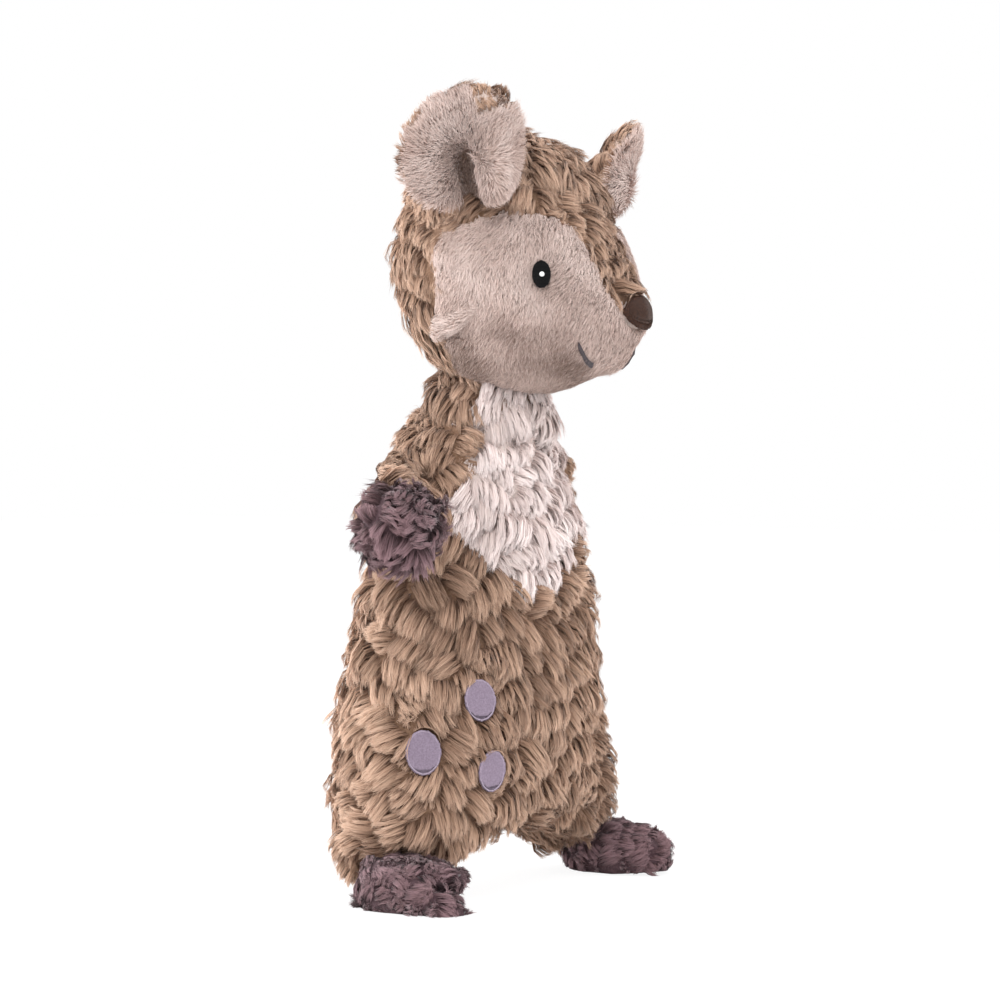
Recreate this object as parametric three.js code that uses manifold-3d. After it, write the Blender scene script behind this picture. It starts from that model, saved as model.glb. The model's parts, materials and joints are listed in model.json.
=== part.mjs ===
// Plush fawn lovey that stands on two stuffed feet. Millimetres, +Z up, the toy faces -Y and its right
// hand is on the -X side. Every panel is a closed shell of pile fabric round a filling of its own.
import * as THREE from 'three';
import { mergeVertices } from 'three/addons/utils/BufferGeometryUtils.js';
import Module from 'manifold-3d';

const wasm = await Module();
wasm.setup();

// Cloth and clearances
const plushThickness = 6;
const pawThickness = 4;
const seamGap = 0.3;
const jointGap = 0.5;
const threadHeight = 1.2;
const overrun = 5;

// Locks of pile, which stand out from the dimples between them, and the margin round what is sewn on
const bodyPileDepth = 4;
const crownPileDepth = 3;
const pileMargin = 14;

// Body
const hemHeight = 7;
const neckHeight = 186;
const bodyHalfWidth = 73;
const bodyHalfDepth = 39;
const neckForward = 9;
const neckBallRadius = 20;
const legWidth = 23;
const archHalfWidth = bodyHalfWidth - legWidth;
const archHeight = 27;
const archRise = 9;

// Head
const collarHeight = 8;
const headHeight = 98;
const headHalfWidth = 47;
const headForward = 15;
const headTurn = THREE.MathUtils.degToRad(8);
const muzzleReach = 62;
const napeReach = 41.5;

// Embroidery
const eyeWidth = 7;
const eyeHeight = 10.4;
const glintWidth = 1.9;
const noseWidth = 22;
const noseHeight = 14;
const mouthLength = 11;
const mouthWidth = 1.8;
const mouthTilt = THREE.MathUtils.degToRad(45);
const mouthSagShare = 0.14;
const spotWidth = 13.5;
const spotHeight = 16.5;

// Ears
const earHeight = 41;
const earHalfWidth = 25;
const earHalfThickness = 8;
const earRootRadius = 5.5;
const earRootHalfLength = 9;
const earStandOff = 6;
const earDishShare = 0.33;
const earLean = { right: THREE.MathUtils.degToRad(23), left: THREE.MathUtils.degToRad(48) };
const earTurn = THREE.MathUtils.degToRad(52);

// Arms
const armLength = 52;
const armRootRadius = 11;
const pawRadius = 18.5;
const pawLength = 26;
const shoulderStandOff = 7;
const armDroop = { right: THREE.MathUtils.degToRad(31), left: THREE.MathUtils.degToRad(40) };
const armForward = { right: THREE.MathUtils.degToRad(42), left: THREE.MathUtils.degToRad(-50) };

// Feet
const footHeight = 21;
const footHalfWidth = 17;
const footReach = 34.5;
const footInset = 7;
const footSpacing = bodyHalfWidth - footInset;
const ankleForward = 17;
const soleThickness = 2;
const toeCleftDepth = 13;
const toeCleftWidth = 7;
const toeCleftTilt = THREE.MathUtils.degToRad(62);
const footTurnLimit = THREE.MathUtils.degToRad(20);

// Facets
const bodyFacets = 28;
const headFacets = 24;
const limbFacets = 16;
const smallFacets = 10;
const socketFacets = 24;
const bodyPileRows = 13;
const crownPileRows = 12;

// Body sections from the hem up, each with the height as a share of the hem to neck distance, the half
// width and half depth as shares of the body's, the forward shift as a share of the neck's.
const bodySectionShares = [
  [0.0, 0.92, 0.76, 0.2],
  [0.06, 1.0, 0.93, 0.25],
  [0.15, 1.0, 1.05, 0.25],
  [0.3, 0.96, 1.04, 0.22],
  [0.5, 0.85, 0.985, 0.2],
  [0.61, 0.765, 0.95, 0.45],
  [0.75, 0.66, 0.88, 0.45],
  [0.89, 0.57, 0.82, 0.4],
  [0.96, 0.49, 0.76, 0.5],
  [1.0, 0.39, 0.68, 0.7],
];

// Head sections from the jaw up: height, half width, reach to the muzzle, reach to the nape, forward
// shift as a share of the muzzle's reach, and how pointed the muzzle side of the section is.
const headSectionShares = [
  [0.0, 0.2, 0.27, 0.14, 0.2, 1.0],
  [0.03, 0.44, 0.55, 0.42, 0.08, 1.0],
  [0.085, 0.66, 0.79, 0.46, 0.0, 1.15],
  [0.16, 0.8, 0.94, 0.66, 0.0, 1.15],
  [0.25, 0.9, 1.0, 0.85, 0.0, 1.22],
  [0.34, 0.96, 0.985, 0.94, 0.0, 1.25],
  [0.45, 1.0, 0.91, 1.0, 0.0, 1.2],
  [0.57, 1.0, 0.82, 1.0, 0.0, 1.12],
  [0.69, 0.95, 0.74, 0.98, 0.0, 1.0],
  [0.81, 0.85, 0.66, 0.9, 0.0, 1.0],
  [0.92, 0.65, 0.53, 0.72, 0.0, 1.0],
  [0.98, 0.4, 0.34, 0.46, 0.0, 1.0],
  [1.0, 0.2, 0.17, 0.22, 0.0, 1.0],
];

// Half outline of the bib: across as a share of the body's half width, up as a share of the height.
const bibOutlineShares = [
  [0.0, 0.595],
  [0.16, 0.62],
  [0.38, 0.655],
  [0.5, 0.71],
  [0.5, 0.8],
  [0.41, 0.91],
  [0.27, 1.04],
];

// Cheek outline seen from the side: forward as a share of the muzzle's reach, up as a share of height.
const cheekOutlineShares = [
  [-0.02, 0.26],
  [-0.02, 0.56],
  [0.2, 0.665],
  [0.46, 0.69],
  [0.66, 0.63],
  [0.8, 0.49],
  [0.91, 0.385],
  [1.05, 0.3],
  [1.1, 0.16],
  [0.5, 0.135],
];

// Ear sections from the lip below its root up: height, half width and half thickness as shares of the
// ear's.
const earSectionShares = [
  [-0.11, 0.5, 0.72],
  [0.0, 0.72, 0.9],
  [0.14, 0.84, 0.97],
  [0.34, 0.95, 1.0],
  [0.54, 1.0, 1.0],
  [0.75, 0.88, 0.9],
  [0.9, 0.6, 0.66],
  [1.0, 0.2, 0.3],
];

// Foot sections from the sole up: height, half width, reach to the toes and to the heel.
const footSectionShares = [
  [0.0, 0.9, 0.93, 0.9],
  [0.14, 1.0, 1.0, 1.0],
  [0.55, 1.0, 0.98, 1.0],
  [0.8, 0.88, 0.8, 0.88],
  [1.0, 0.62, 0.45, 0.62],
];

// Arm profile past its root ball: distance along the arm as a share of its length, radius as a share
// of the paw's.
const armProfileShares = [
  [0.16, 0.5],
  [0.34, 0.68],
  [0.52, 0.87],
  [0.68, 1.0],
  [0.82, 0.93],
  [0.93, 0.7],
  [0.985, 0.38],
];

// Spots on the right thigh: across and up as shares of the body, then width, height and tilt.
const spots = [
  { name: 'spot_upper', acrossShare: 0.52, upShare: 0.39, widthShare: 1.0, heightShare: 0.97, tilt: 0.1 },
  { name: 'spot_outer', acrossShare: 0.81, upShare: 0.285, widthShare: 1.0, heightShare: 1.03, tilt: 0.0 },
  { name: 'spot_inner', acrossShare: 0.478, upShare: 0.24, widthShare: 0.88, heightShare: 0.97, tilt: -0.2 },
];

// Places on the head: height share and turn from the front round to the side
const eyePlace = { upShare: 0.445, turn: THREE.MathUtils.degToRad(50) };
const earPlace = { upShare: 0.73, turn: THREE.MathUtils.degToRad(74) };
const mouthPlace = { upShare: 0.12, turn: THREE.MathUtils.degToRad(32) };
const nosePlace = { upShare: 0.305 };
const shoulderShare = 0.855;
const chinTopShare = 0.2;
const chinBackShare = 0.02;

const colours = {
  fawn: 0xb39a80,
  cream: 0xd8cbc3,
  bibWhite: 0xe4dbd2,
  mauve: 0x87707a,
  lilac: 0xa59cad,
  noseBrown: 0x4d3026,
  black: 0x0c0c0e,
  white: 0xf2f0ee,
  grey: 0x655c62,
  filling: 0xefeeea,
};

// Geometry helpers

// A closed form through rings of points. A staggered loft splits its faces so that every other point
// stands out from the net of the rest.
function loft(rings, staggered = false) {
  const count = rings[0].length;
  const positions = [];
  const indices = [];
  for (const ring of rings) for (const point of ring) positions.push(point.x, point.y, point.z);
  for (let level = 0; level + 1 < rings.length; level += 1) {
    for (let i = 0; i < count; i += 1) {
      const a = level * count + i;
      const b = level * count + ((i + 1) % count);
      if (staggered && (level + i) % 2 === 0) indices.push(a, b, a + count, b, b + count, a + count);
      else indices.push(a, b, b + count, a, b + count, a + count);
    }
  }
  const addCap = (ring, firstVertex, flip) => {
    const middle = ring.reduce((sum, point) => sum.add(point), new THREE.Vector3()).divideScalar(count);
    const centre = positions.length / 3;
    positions.push(middle.x, middle.y, middle.z);
    for (let i = 0; i < count; i += 1) {
      const a = firstVertex + i;
      const b = firstVertex + ((i + 1) % count);
      if (flip) indices.push(centre, b, a);
      else indices.push(centre, a, b);
    }
  };
  addCap(rings[0], 0, true);
  addCap(rings[rings.length - 1], (rings.length - 1) * count, false);
  const geometry = new THREE.BufferGeometry();
  geometry.setAttribute('position', new THREE.Float32BufferAttribute(positions, 3));
  geometry.setIndex(indices);
  return geometry;
}

function sectionPoint(section, turn) {
  const across = Math.sin(turn);
  const ahead = Math.cos(turn);
  const pointed = ahead > 0 ? section.pointed : 1;
  const reach = ahead > 0 ? section.front : section.back;
  const x = section.width * Math.sign(across) * Math.abs(across) ** pointed;
  return new THREE.Vector3(x, -section.forward - reach * ahead, section.height);
}

function sectionRing(section, facets) {
  return Array.from({ length: facets }, (_, i) => sectionPoint(section, (2 * Math.PI * i) / facets));
}

// Rings of a form with locks of pile: points alternate between the full form and a dimple, each ring is
// staggered against the one below, and the first ring, the last one and the calm places have no dimples.
function pileRings(sectionAt, rows, facets, depth, calm) {
  return Array.from({ length: rows + 1 }, (_, row) => {
    const full = sectionRing(sectionAt(row / rows, 0), facets);
    const dimpled = sectionRing(sectionAt(row / rows, depth), facets);
    return full.map((point, i) => {
      const still = calm.some(({ middle, reach }) => middle.distanceTo(point) < reach);
      if (row === 0 || row === rows || (row + i) % 2 === 0 || still) return point;
      return dimpled[i].setZ(point.z);
    });
  });
}

function solidOf(geometry, matrix) {
  const plain = geometry.clone();
  plain.deleteAttribute('normal');
  plain.deleteAttribute('uv');
  if (matrix) plain.applyMatrix4(matrix);
  const merged = mergeVertices(plain);
  const vertProperties = new Float32Array(merged.attributes.position.array);
  const triVerts = new Uint32Array(merged.index.array);
  return new wasm.Manifold(new wasm.Mesh({ numProp: 3, vertProperties, triVerts }));
}

function geometryOf(solid) {
  const mesh = solid.getMesh();
  const geometry = new THREE.BufferGeometry();
  geometry.setAttribute('position', new THREE.Float32BufferAttribute(mesh.vertProperties, mesh.numProp));
  geometry.setIndex(Array.from(mesh.triVerts));
  geometry.computeVertexNormals();
  return geometry;
}

function cut(solid, ...tools) {
  return tools.reduce((rest, tool) => rest.subtract(tool), solid);
}

function ball(centre, radius, facets = socketFacets) {
  const geometry = new THREE.SphereGeometry(radius, facets, facets / 2);
  return solidOf(geometry, new THREE.Matrix4().makeTranslation(centre));
}

function block(low, high) {
  const size = new THREE.Vector3().subVectors(high, low);
  const middle = new THREE.Vector3().addVectors(high, low).multiplyScalar(0.5);
  const place = new THREE.Matrix4().makeTranslation(middle);
  return solidOf(new THREE.BoxGeometry(size.x, size.y, size.z), place);
}

// An outline swept along the third axis of the frame, from the frame's origin.
function prism(outline, length, frame) {
  const shape = new THREE.Shape(outline);
  return solidOf(new THREE.ExtrudeGeometry(shape, { depth: length, bevelEnabled: false, steps: 1 }), frame);
}

function frameAt(origin, right, up) {
  const third = new THREE.Vector3().crossVectors(right, up).normalize();
  return new THREE.Matrix4().makeBasis(right, up, third).setPosition(origin);
}

function ellipseOutline(width, height, tilt = 0, facets = smallFacets + smallFacets / 2) {
  return Array.from({ length: facets }, (_, i) => {
    const angle = (2 * Math.PI * i) / facets;
    const point = new THREE.Vector2((width / 2) * Math.cos(angle), (height / 2) * Math.sin(angle));
    return point.rotateAround(new THREE.Vector2(), tilt);
  });
}

// Moves each side of a counter-clockwise outline outwards by one distance.
function growOutline(outline, distance) {
  const count = outline.length;
  return outline.map((point, i) => {
    const before = outline[(i + count - 1) % count];
    const after = outline[(i + 1) % count];
    const normalOf = (from, to) => new THREE.Vector2(to.y - from.y, from.x - to.x).normalize();
    const first = normalOf(before, point);
    const second = normalOf(point, after);
    const mitre = first.clone().add(second).normalize();
    return point.clone().addScaledVector(mitre, distance / Math.max(mitre.dot(first), 0.5));
  });
}

const origin = new THREE.Vector3();
const axisX = new THREE.Vector3(1, 0, 0);
const axisY = new THREE.Vector3(0, 1, 0);
const axisZ = new THREE.Vector3(0, 0, 1);

const materials = {};
for (const [name, colour] of Object.entries(colours)) {
  const thread = ['lilac', 'noseBrown', 'black', 'white', 'grey'].includes(name);
  const roughness = thread ? 0.6 : 0.95;
  materials[name] = new THREE.MeshStandardMaterial({ color: colour, roughness, metalness: 0 });
}

const toy = new THREE.Group();

function addPiece(parent, name, solid, colour) {
  const mesh = new THREE.Mesh(geometryOf(solid), materials[colour].clone());
  mesh.name = name;
  parent.add(mesh);
}

// Body forms

const bodyHeight = neckHeight - hemHeight;

function bodySection(shares, inset) {
  const [up, width, depth, forward] = shares;
  return {
    height: hemHeight + inset + up * (bodyHeight - 2 * inset),
    width: width * bodyHalfWidth - inset,
    front: depth * bodyHalfDepth - inset,
    back: depth * bodyHalfDepth - inset,
    forward: forward * neckForward,
    pointed: 1,
  };
}

function blendShares(table, up) {
  const last = Math.max(1, table.findIndex((row) => row[0] >= up));
  const low = table[last - 1];
  const high = table[last];
  const part = (up - low[0]) / (high[0] - low[0]);
  return low.map((value, i) => value + part * (high[i] - value));
}

// The arch between the legs, which opens up towards the back.
function archForm(inset) {
  const reach = bodyHalfDepth + overrun;
  const ring = (along, rise) => Array.from({ length: bodyFacets }, (_, i) => {
    const angle = (-2 * Math.PI * i) / bodyFacets;
    const across = (archHalfWidth + rise + inset) * Math.cos(angle);
    return new THREE.Vector3(across, along, (archHeight + rise + inset) * Math.sin(angle));
  });
  return solidOf(loft([ring(-reach, 0), ring(reach, archRise)]));
}

function bodyForm(inset) {
  const rings = bodySectionShares.map((shares) => sectionRing(bodySection(shares, inset), bodyFacets));
  return solidOf(loft(rings)).subtract(archForm(inset));
}

function bodyPlace(side, acrossShare, upShare) {
  const section = bodySection(blendShares(bodySectionShares, upShare), 0);
  const turn = Math.asin(Math.min(1, (acrossShare * bodyHalfWidth) / section.width));
  return surfacePlace((up, angle) => sectionPoint(bodySection(blendShares(bodySectionShares, up), 0), angle),
    upShare, side * turn);
}

// A point of a swept form and its outward normal, from two small steps along the form.
function surfacePlace(pointAt, up, turn) {
  const step = 0.01;
  const point = pointAt(up, turn);
  const round = pointAt(up, turn + step).sub(pointAt(up, turn - step));
  const rise = pointAt(up + step, turn).sub(pointAt(up - step, turn));
  return { point, normal: new THREE.Vector3().crossVectors(round, rise).normalize() };
}

// Head forms

const headBase = neckHeight + collarHeight;

function headSection(shares, inset) {
  const [up, width, front, back, forward, pointed] = shares;
  return {
    height: headBase + inset + up * (headHeight - 2 * inset),
    width: Math.max(width * headHalfWidth - inset, seamGap),
    front: Math.max(front * muzzleReach - inset, seamGap),
    back: Math.max(back * napeReach - inset, seamGap),
    forward: headForward + forward * muzzleReach,
    pointed,
  };
}

function headForm(inset) {
  const rings = headSectionShares.map((shares) => sectionRing(headSection(shares, inset), headFacets));
  return solidOf(loft(rings));
}

function headPlace(side, upShare, turn) {
  return surfacePlace((up, angle) => sectionPoint(headSection(blendShares(headSectionShares, up), 0), angle),
    upShare, side * turn);
}

// A patch of stitches that follows a form: the layer between two insets, inside an outline that is laid
// on the surface at one place.
function stitchedPatch(form, place, outline, low, high) {
  const facing = new THREE.Vector3(place.normal.x, place.normal.y, 0).normalize();
  const right = new THREE.Vector3().crossVectors(axisZ, facing);
  const start = place.point.clone().addScaledVector(facing, -plushThickness);
  const outlinePrism = prism(outline, plushThickness + overrun + threadHeight, frameAt(start, right, axisZ));
  return form(-high).intersect(outlinePrism).subtract(form(-low));
}

// Sockets that the moving pieces turn in

const neckCentre = new THREE.Vector3(0, -neckForward, neckHeight);
const neckSocket = ball(neckCentre, neckBallRadius + jointGap);

const sides = { right: -1, left: 1 };

function shoulderCentre(side) {
  const place = bodyPlace(side, 1, shoulderShare);
  return place.point.clone().addScaledVector(place.normal, shoulderStandOff);
}

function earFrame(sideName) {
  const side = sides[sideName];
  const lean = earLean[sideName];
  const place = headPlace(side, earPlace.upShare, earPlace.turn);
  const centre = place.point.clone().addScaledVector(place.normal, earStandOff);
  const up = new THREE.Vector3(side * Math.sin(lean), 0, Math.cos(lean));
  const facing = new THREE.Vector3(side * Math.sin(earTurn), -Math.cos(earTurn), 0);
  facing.addScaledVector(up, -facing.dot(up)).normalize();
  const right = new THREE.Vector3().crossVectors(facing.clone().negate(), up);
  return new THREE.Matrix4().makeBasis(right, facing.clone().negate(), up).setPosition(centre);
}

// A bar with round ends along the local X axis.
function roundBar(radius, halfLength, frame) {
  const rings = [];
  for (let i = 1; i < smallFacets; i += 1) {
    const angle = Math.PI * (i / smallFacets);
    const end = i < smallFacets / 2 ? -halfLength : halfLength;
    const along = i * 2 === smallFacets ? 0 : end - radius * Math.cos(angle);
    const reach = i * 2 === smallFacets ? radius : radius * Math.sin(angle);
    const ring = Array.from({ length: smallFacets }, (_, j) => {
      const turn = (2 * Math.PI * j) / smallFacets;
      return new THREE.Vector3(along, reach * Math.cos(turn), reach * Math.sin(turn));
    });
    rings.push(ring);
  }
  return solidOf(loft(rings), frame);
}

const shoulderSockets = Object.values(sides).map((side) =>
  ball(shoulderCentre(side), armRootRadius + jointGap));
const earSockets = Object.keys(sides).map((sideName) =>
  roundBar(earRootRadius + jointGap, earRootHalfLength, earFrame(sideName)));

// Distance from the ankle to the foot's outline, by the turn away from the toes.
function footRadius(turn) {
  const reach = Math.cos(turn) > 0 ? footReach : footHalfWidth;
  return 1 / Math.hypot(Math.sin(turn) / footHalfWidth, Math.cos(turn) / reach);
}

// The room that a foot sweeps while it turns on its ankle both ways.
function footRoom(side) {
  const facets = 2 * limbFacets;
  const outline = Array.from({ length: facets }, (_, i) => {
    const turn = 2 * Math.PI * (i / facets) - Math.PI;
    const radius = footRadius(Math.max(0, Math.abs(turn) - footTurnLimit)) + seamGap;
    return new THREE.Vector2(radius * Math.sin(turn), -radius * Math.cos(turn));
  });
  const start = new THREE.Vector3(side * footSpacing, -ankleForward, -overrun);
  return prism(outline, footHeight + seamGap + overrun, frameAt(start, axisX, axisY));
}

// Locks of pile keep off what is sewn on or turns against the cloth
const spotPlace = (spot) => bodyPlace(sides.right, spot.acrossShare, spot.upShare);
const calmAt = (middle, reach) => ({ middle, reach });

function pileBodyForm() {
  const calm = spots.map((spot) => calmAt(spotPlace(spot).point, spotHeight));
  for (const side of Object.values(sides)) {
    const footTop = new THREE.Vector3(side * footSpacing, -ankleForward, footHeight);
    calm.push(calmAt(footTop, footReach));
    calm.push(calmAt(shoulderCentre(side), armRootRadius + pileMargin));
  }
  const sectionAt = (up, inset) => bodySection(blendShares(bodySectionShares, up), inset);
  const rings = pileRings(sectionAt, bodyPileRows, bodyFacets, bodyPileDepth, calm);
  return solidOf(loft(rings, true)).subtract(archForm(0));
}

function pileHeadForm() {
  const earMiddle = (sideName) => new THREE.Vector3().setFromMatrixPosition(earFrame(sideName));
  const calm = [
    ...Object.keys(sides).map((sideName) => calmAt(earMiddle(sideName), earRootHalfLength + pileMargin)),
    calmAt(headPlace(sides.left, nosePlace.upShare, 0).point, noseWidth),
  ];
  const sectionAt = (up, inset) => headSection(blendShares(headSectionShares, up), inset);
  return solidOf(loft(pileRings(sectionAt, crownPileRows, headFacets, crownPileDepth, calm), true));
}

const bodyCuts = [neckSocket, ...shoulderSockets, footRoom(sides.right), footRoom(sides.left)];

// Body panels and filling

const bodyShell = cut(pileBodyForm(), ...bodyCuts, bodyForm(plushThickness));
const bodyReach = bodyHalfDepth + neckForward + overrun;
const bodyLow = new THREE.Vector3(-bodyHalfWidth - overrun, -bodyReach, -overrun);
const bodyHigh = new THREE.Vector3(bodyHalfWidth + overrun, bodyHalfDepth + overrun, neckHeight + overrun);
const frontHalf = block(bodyLow, new THREE.Vector3(bodyHigh.x, -seamGap / 2, bodyHigh.z));
const backHalf = block(new THREE.Vector3(bodyLow.x, seamGap / 2, bodyLow.z), bodyHigh);

const bibHalf = bibOutlineShares.map(([across, up]) =>
  new THREE.Vector2(across * bodyHalfWidth, hemHeight + up * bodyHeight));
const bibOther = bibHalf.slice(1).reverse().map((point) => new THREE.Vector2(-point.x, point.y));
const bibOutline = [...bibHalf, ...bibOther];
const bibPrism = (grow) => prism(growOutline(bibOutline, grow), bodyReach, frameAt(origin, axisX, axisZ));

const frontShell = bodyShell.intersect(frontHalf);
addPiece(toy, 'body_front', frontShell.subtract(bibPrism(seamGap)), 'fawn');
addPiece(toy, 'bib', frontShell.intersect(bibPrism(0)), 'bibWhite');
addPiece(toy, 'body_back', bodyShell.intersect(backHalf), 'fawn');
addPiece(toy, 'body_filling', cut(bodyForm(plushThickness + seamGap), ...bodyCuts), 'filling');

for (const spot of spots) {
  const place = spotPlace(spot);
  const outline = ellipseOutline(spotWidth * spot.widthShare, spotHeight * spot.heightShare, spot.tilt);
  const patch = stitchedPatch(bodyForm, place, outline, seamGap, seamGap + threadHeight);
  addPiece(toy, spot.name, patch, 'lilac');
}

addPiece(toy, 'neck_filling', ball(neckCentre, neckBallRadius), 'filling');

// Head panels, face and filling, all turned together on the neck

const headPivot = new THREE.Group();
headPivot.name = 'head_pivot';
headPivot.position.copy(neckCentre);
headPivot.rotation.z = headTurn;
const head = new THREE.Group();
head.position.copy(neckCentre).negate();
headPivot.add(head);
toy.add(headPivot);

const headCuts = [neckSocket, ...earSockets];
const headShell = cut(headForm(0), ...headCuts, headForm(plushThickness));

const sideOutline = (shares) => shares.map(([ahead, up]) =>
  new THREE.Vector2(-headForward - ahead * muzzleReach, headBase + up * headHeight));

function cheekPrism(side, grow) {
  const outline = growOutline(sideOutline(cheekOutlineShares), grow);
  const length = headHalfWidth + overrun - seamGap / 2 + grow;
  const start = side < 0 ? -headHalfWidth - overrun : seamGap / 2 - grow;
  return prism(outline, length, frameAt(new THREE.Vector3(start, 0, 0), axisY, axisZ));
}

const chinReach = headForward + muzzleReach + overrun;
const chinTop = headBase + chinTopShare * headHeight;
const chinBack = -headForward - chinBackShare * muzzleReach;
const chinLow = new THREE.Vector3(-headHalfWidth - overrun, -chinReach, headBase - overrun);
const chinBlock = (grow) => {
  const chinHigh = new THREE.Vector3(headHalfWidth + overrun, chinBack + grow, chinTop + grow);
  return block(chinLow, chinHigh);
};
const chinShell = headShell.intersect(chinBlock(0));
addPiece(head, 'chin_gusset', chinShell, 'cream');

const upperShell = headShell.subtract(chinBlock(seamGap));
for (const [sideName, side] of Object.entries(sides)) {
  addPiece(head, `cheek_${sideName}`, upperShell.intersect(cheekPrism(side, 0)), 'cream');
}
const cheekRooms = [cheekPrism(sides.right, seamGap), cheekPrism(sides.left, seamGap)];
const crownShell = cut(pileHeadForm(), ...headCuts, headForm(plushThickness), chinBlock(seamGap));
addPiece(head, 'head_crown', cut(crownShell, ...cheekRooms), 'fawn');
addPiece(head, 'head_filling', cut(headForm(plushThickness + seamGap), ...headCuts), 'filling');

// A stitched smile line: a narrow band that curves down towards the chin.
function mouthOutline(side) {
  const steps = smallFacets / 2;
  const edge = (offset) => Array.from({ length: steps + 1 }, (_, i) => {
    const along = (i / steps - 0.5) * mouthLength;
    const sag = mouthSagShare * mouthLength * (2 * along / mouthLength) ** 2;
    return new THREE.Vector2(along * Math.cos(mouthTilt), along * Math.sin(mouthTilt) + sag + offset);
  });
  const band = [...edge(-mouthWidth / 2), ...edge(mouthWidth / 2).reverse()];
  return side > 0 ? band : band.map((point) => new THREE.Vector2(-point.x, point.y)).reverse();
}

for (const [sideName, side] of Object.entries(sides)) {
  const place = headPlace(side, eyePlace.upShare, eyePlace.turn);
  const eye = ellipseOutline(eyeWidth, eyeHeight);
  const glint = ellipseOutline(glintWidth, glintWidth, 0, smallFacets);
  const eyeTop = seamGap + threadHeight;
  addPiece(head, `eye_${sideName}`, stitchedPatch(headForm, place, eye, seamGap, eyeTop), 'black');
  const glintLow = eyeTop + seamGap;
  const glintTop = glintLow + threadHeight / 2;
  addPiece(head, `glint_${sideName}`, stitchedPatch(headForm, place, glint, glintLow, glintTop), 'white');
  const mouth = headPlace(side, mouthPlace.upShare, mouthPlace.turn);
  const line = mouthOutline(side);
  addPiece(head, `mouth_${sideName}`, stitchedPatch(headForm, mouth, line, seamGap, eyeTop), 'grey');
}

const nosePoint = headPlace(sides.left, nosePlace.upShare, 0);
const noseOutline = ellipseOutline(noseWidth, noseHeight, 0, headFacets);
const noseTop = seamGap + 2 * threadHeight;
addPiece(head, 'nose', stitchedPatch(headForm, nosePoint, noseOutline, seamGap, noseTop), 'noseBrown');

// Ears: a brown back and a cream cup on a root bar that turns in the crown

const earSection = ([up, width, depth]) => ({
  height: up * earHeight,
  width: width * earHalfWidth,
  front: depth * earHalfThickness,
  back: depth * earHalfThickness,
  forward: 0,
  pointed: 1,
});

function addEar(sideName) {
  const pivot = new THREE.Group();
  pivot.name = `ear_${sideName}_pivot`;
  pivot.applyMatrix4(earFrame(sideName));
  const leaf = solidOf(loft(earSectionShares.map((shares) => sectionRing(earSection(shares), limbFacets))));
  const root = roundBar(earRootRadius, earRootHalfLength, new THREE.Matrix4());
  const reach = earHalfWidth + overrun;
  const tip = earHeight + overrun;
  const behind = block(new THREE.Vector3(-reach, 0, 0), new THREE.Vector3(reach, reach, tip));
  const front = block(new THREE.Vector3(-reach, -reach, -reach), new THREE.Vector3(reach, -seamGap, tip));
  const dishRadius = earHalfWidth;
  const dishForward = earDishShare * earHalfThickness + dishRadius;
  const dish = ball(new THREE.Vector3(0, -dishForward, earHeight / 2), dishRadius);
  const rootRoom = roundBar(earRootRadius + seamGap, earRootHalfLength, new THREE.Matrix4());
  addPiece(pivot, `ear_${sideName}_back`, leaf.intersect(behind).add(root), 'fawn');
  addPiece(pivot, `ear_${sideName}_cup`, cut(leaf.intersect(front), rootRoom, dish), 'cream');
  head.add(pivot);
}

// Arms: a sleeve and a paw round one filling, on a root ball that turns at the side seam

function armForm(inset) {
  const rootRadius = armRootRadius - inset;
  const length = armLength - inset;
  const circle = (radius, along) => Array.from({ length: limbFacets }, (_, i) => {
    const turn = (2 * Math.PI * i) / limbFacets;
    return new THREE.Vector3(radius * Math.cos(turn), radius * Math.sin(turn), along);
  });
  const rootSteps = smallFacets / 2;
  const rings = [];
  for (let i = 1; i <= rootSteps; i += 1) {
    const angle = (Math.PI / 2) * (i / rootSteps);
    rings.push(circle(rootRadius * Math.sin(angle), -rootRadius * Math.cos(angle)));
  }
  for (const [along, radius] of armProfileShares) {
    rings.push(circle(Math.max(radius * pawRadius - inset, seamGap), along * length));
  }
  return solidOf(loft(rings));
}

function addArm(sideName, side) {
  const pivot = new THREE.Group();
  pivot.name = `arm_${sideName}_pivot`;
  const droop = armDroop[sideName];
  const forward = armForward[sideName];
  const across = Math.cos(droop) * Math.cos(forward) * side;
  const direction = new THREE.Vector3(across, -Math.cos(droop) * Math.sin(forward), -Math.sin(droop));
  pivot.quaternion.setFromUnitVectors(axisZ, direction);
  pivot.position.copy(shoulderCentre(side));
  const shell = armForm(0).subtract(armForm(pawThickness));
  const reach = pawRadius + overrun;
  const wrist = armLength - pawLength;
  const slab = (low, high) =>
    block(new THREE.Vector3(-reach, -reach, low), new THREE.Vector3(reach, reach, high));
  addPiece(pivot, `arm_${sideName}_sleeve`, shell.intersect(slab(-reach, wrist - seamGap)), 'fawn');
  addPiece(pivot, `paw_${sideName}`, shell.intersect(slab(wrist, armLength + overrun)), 'mauve');
  addPiece(pivot, `arm_${sideName}_filling`, armForm(pawThickness + seamGap), 'filling');
  toy.add(pivot);
}

// Feet: a cleft hoof-like upper on a flat sole, turning on the ankle

const footSection = ([up, width, front, back], inset) => ({
  height: up * (footHeight - inset),
  width: width * footHalfWidth - inset,
  front: front * footReach - inset,
  back: back * footHalfWidth - inset,
  forward: 0,
  pointed: 1,
});

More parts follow.
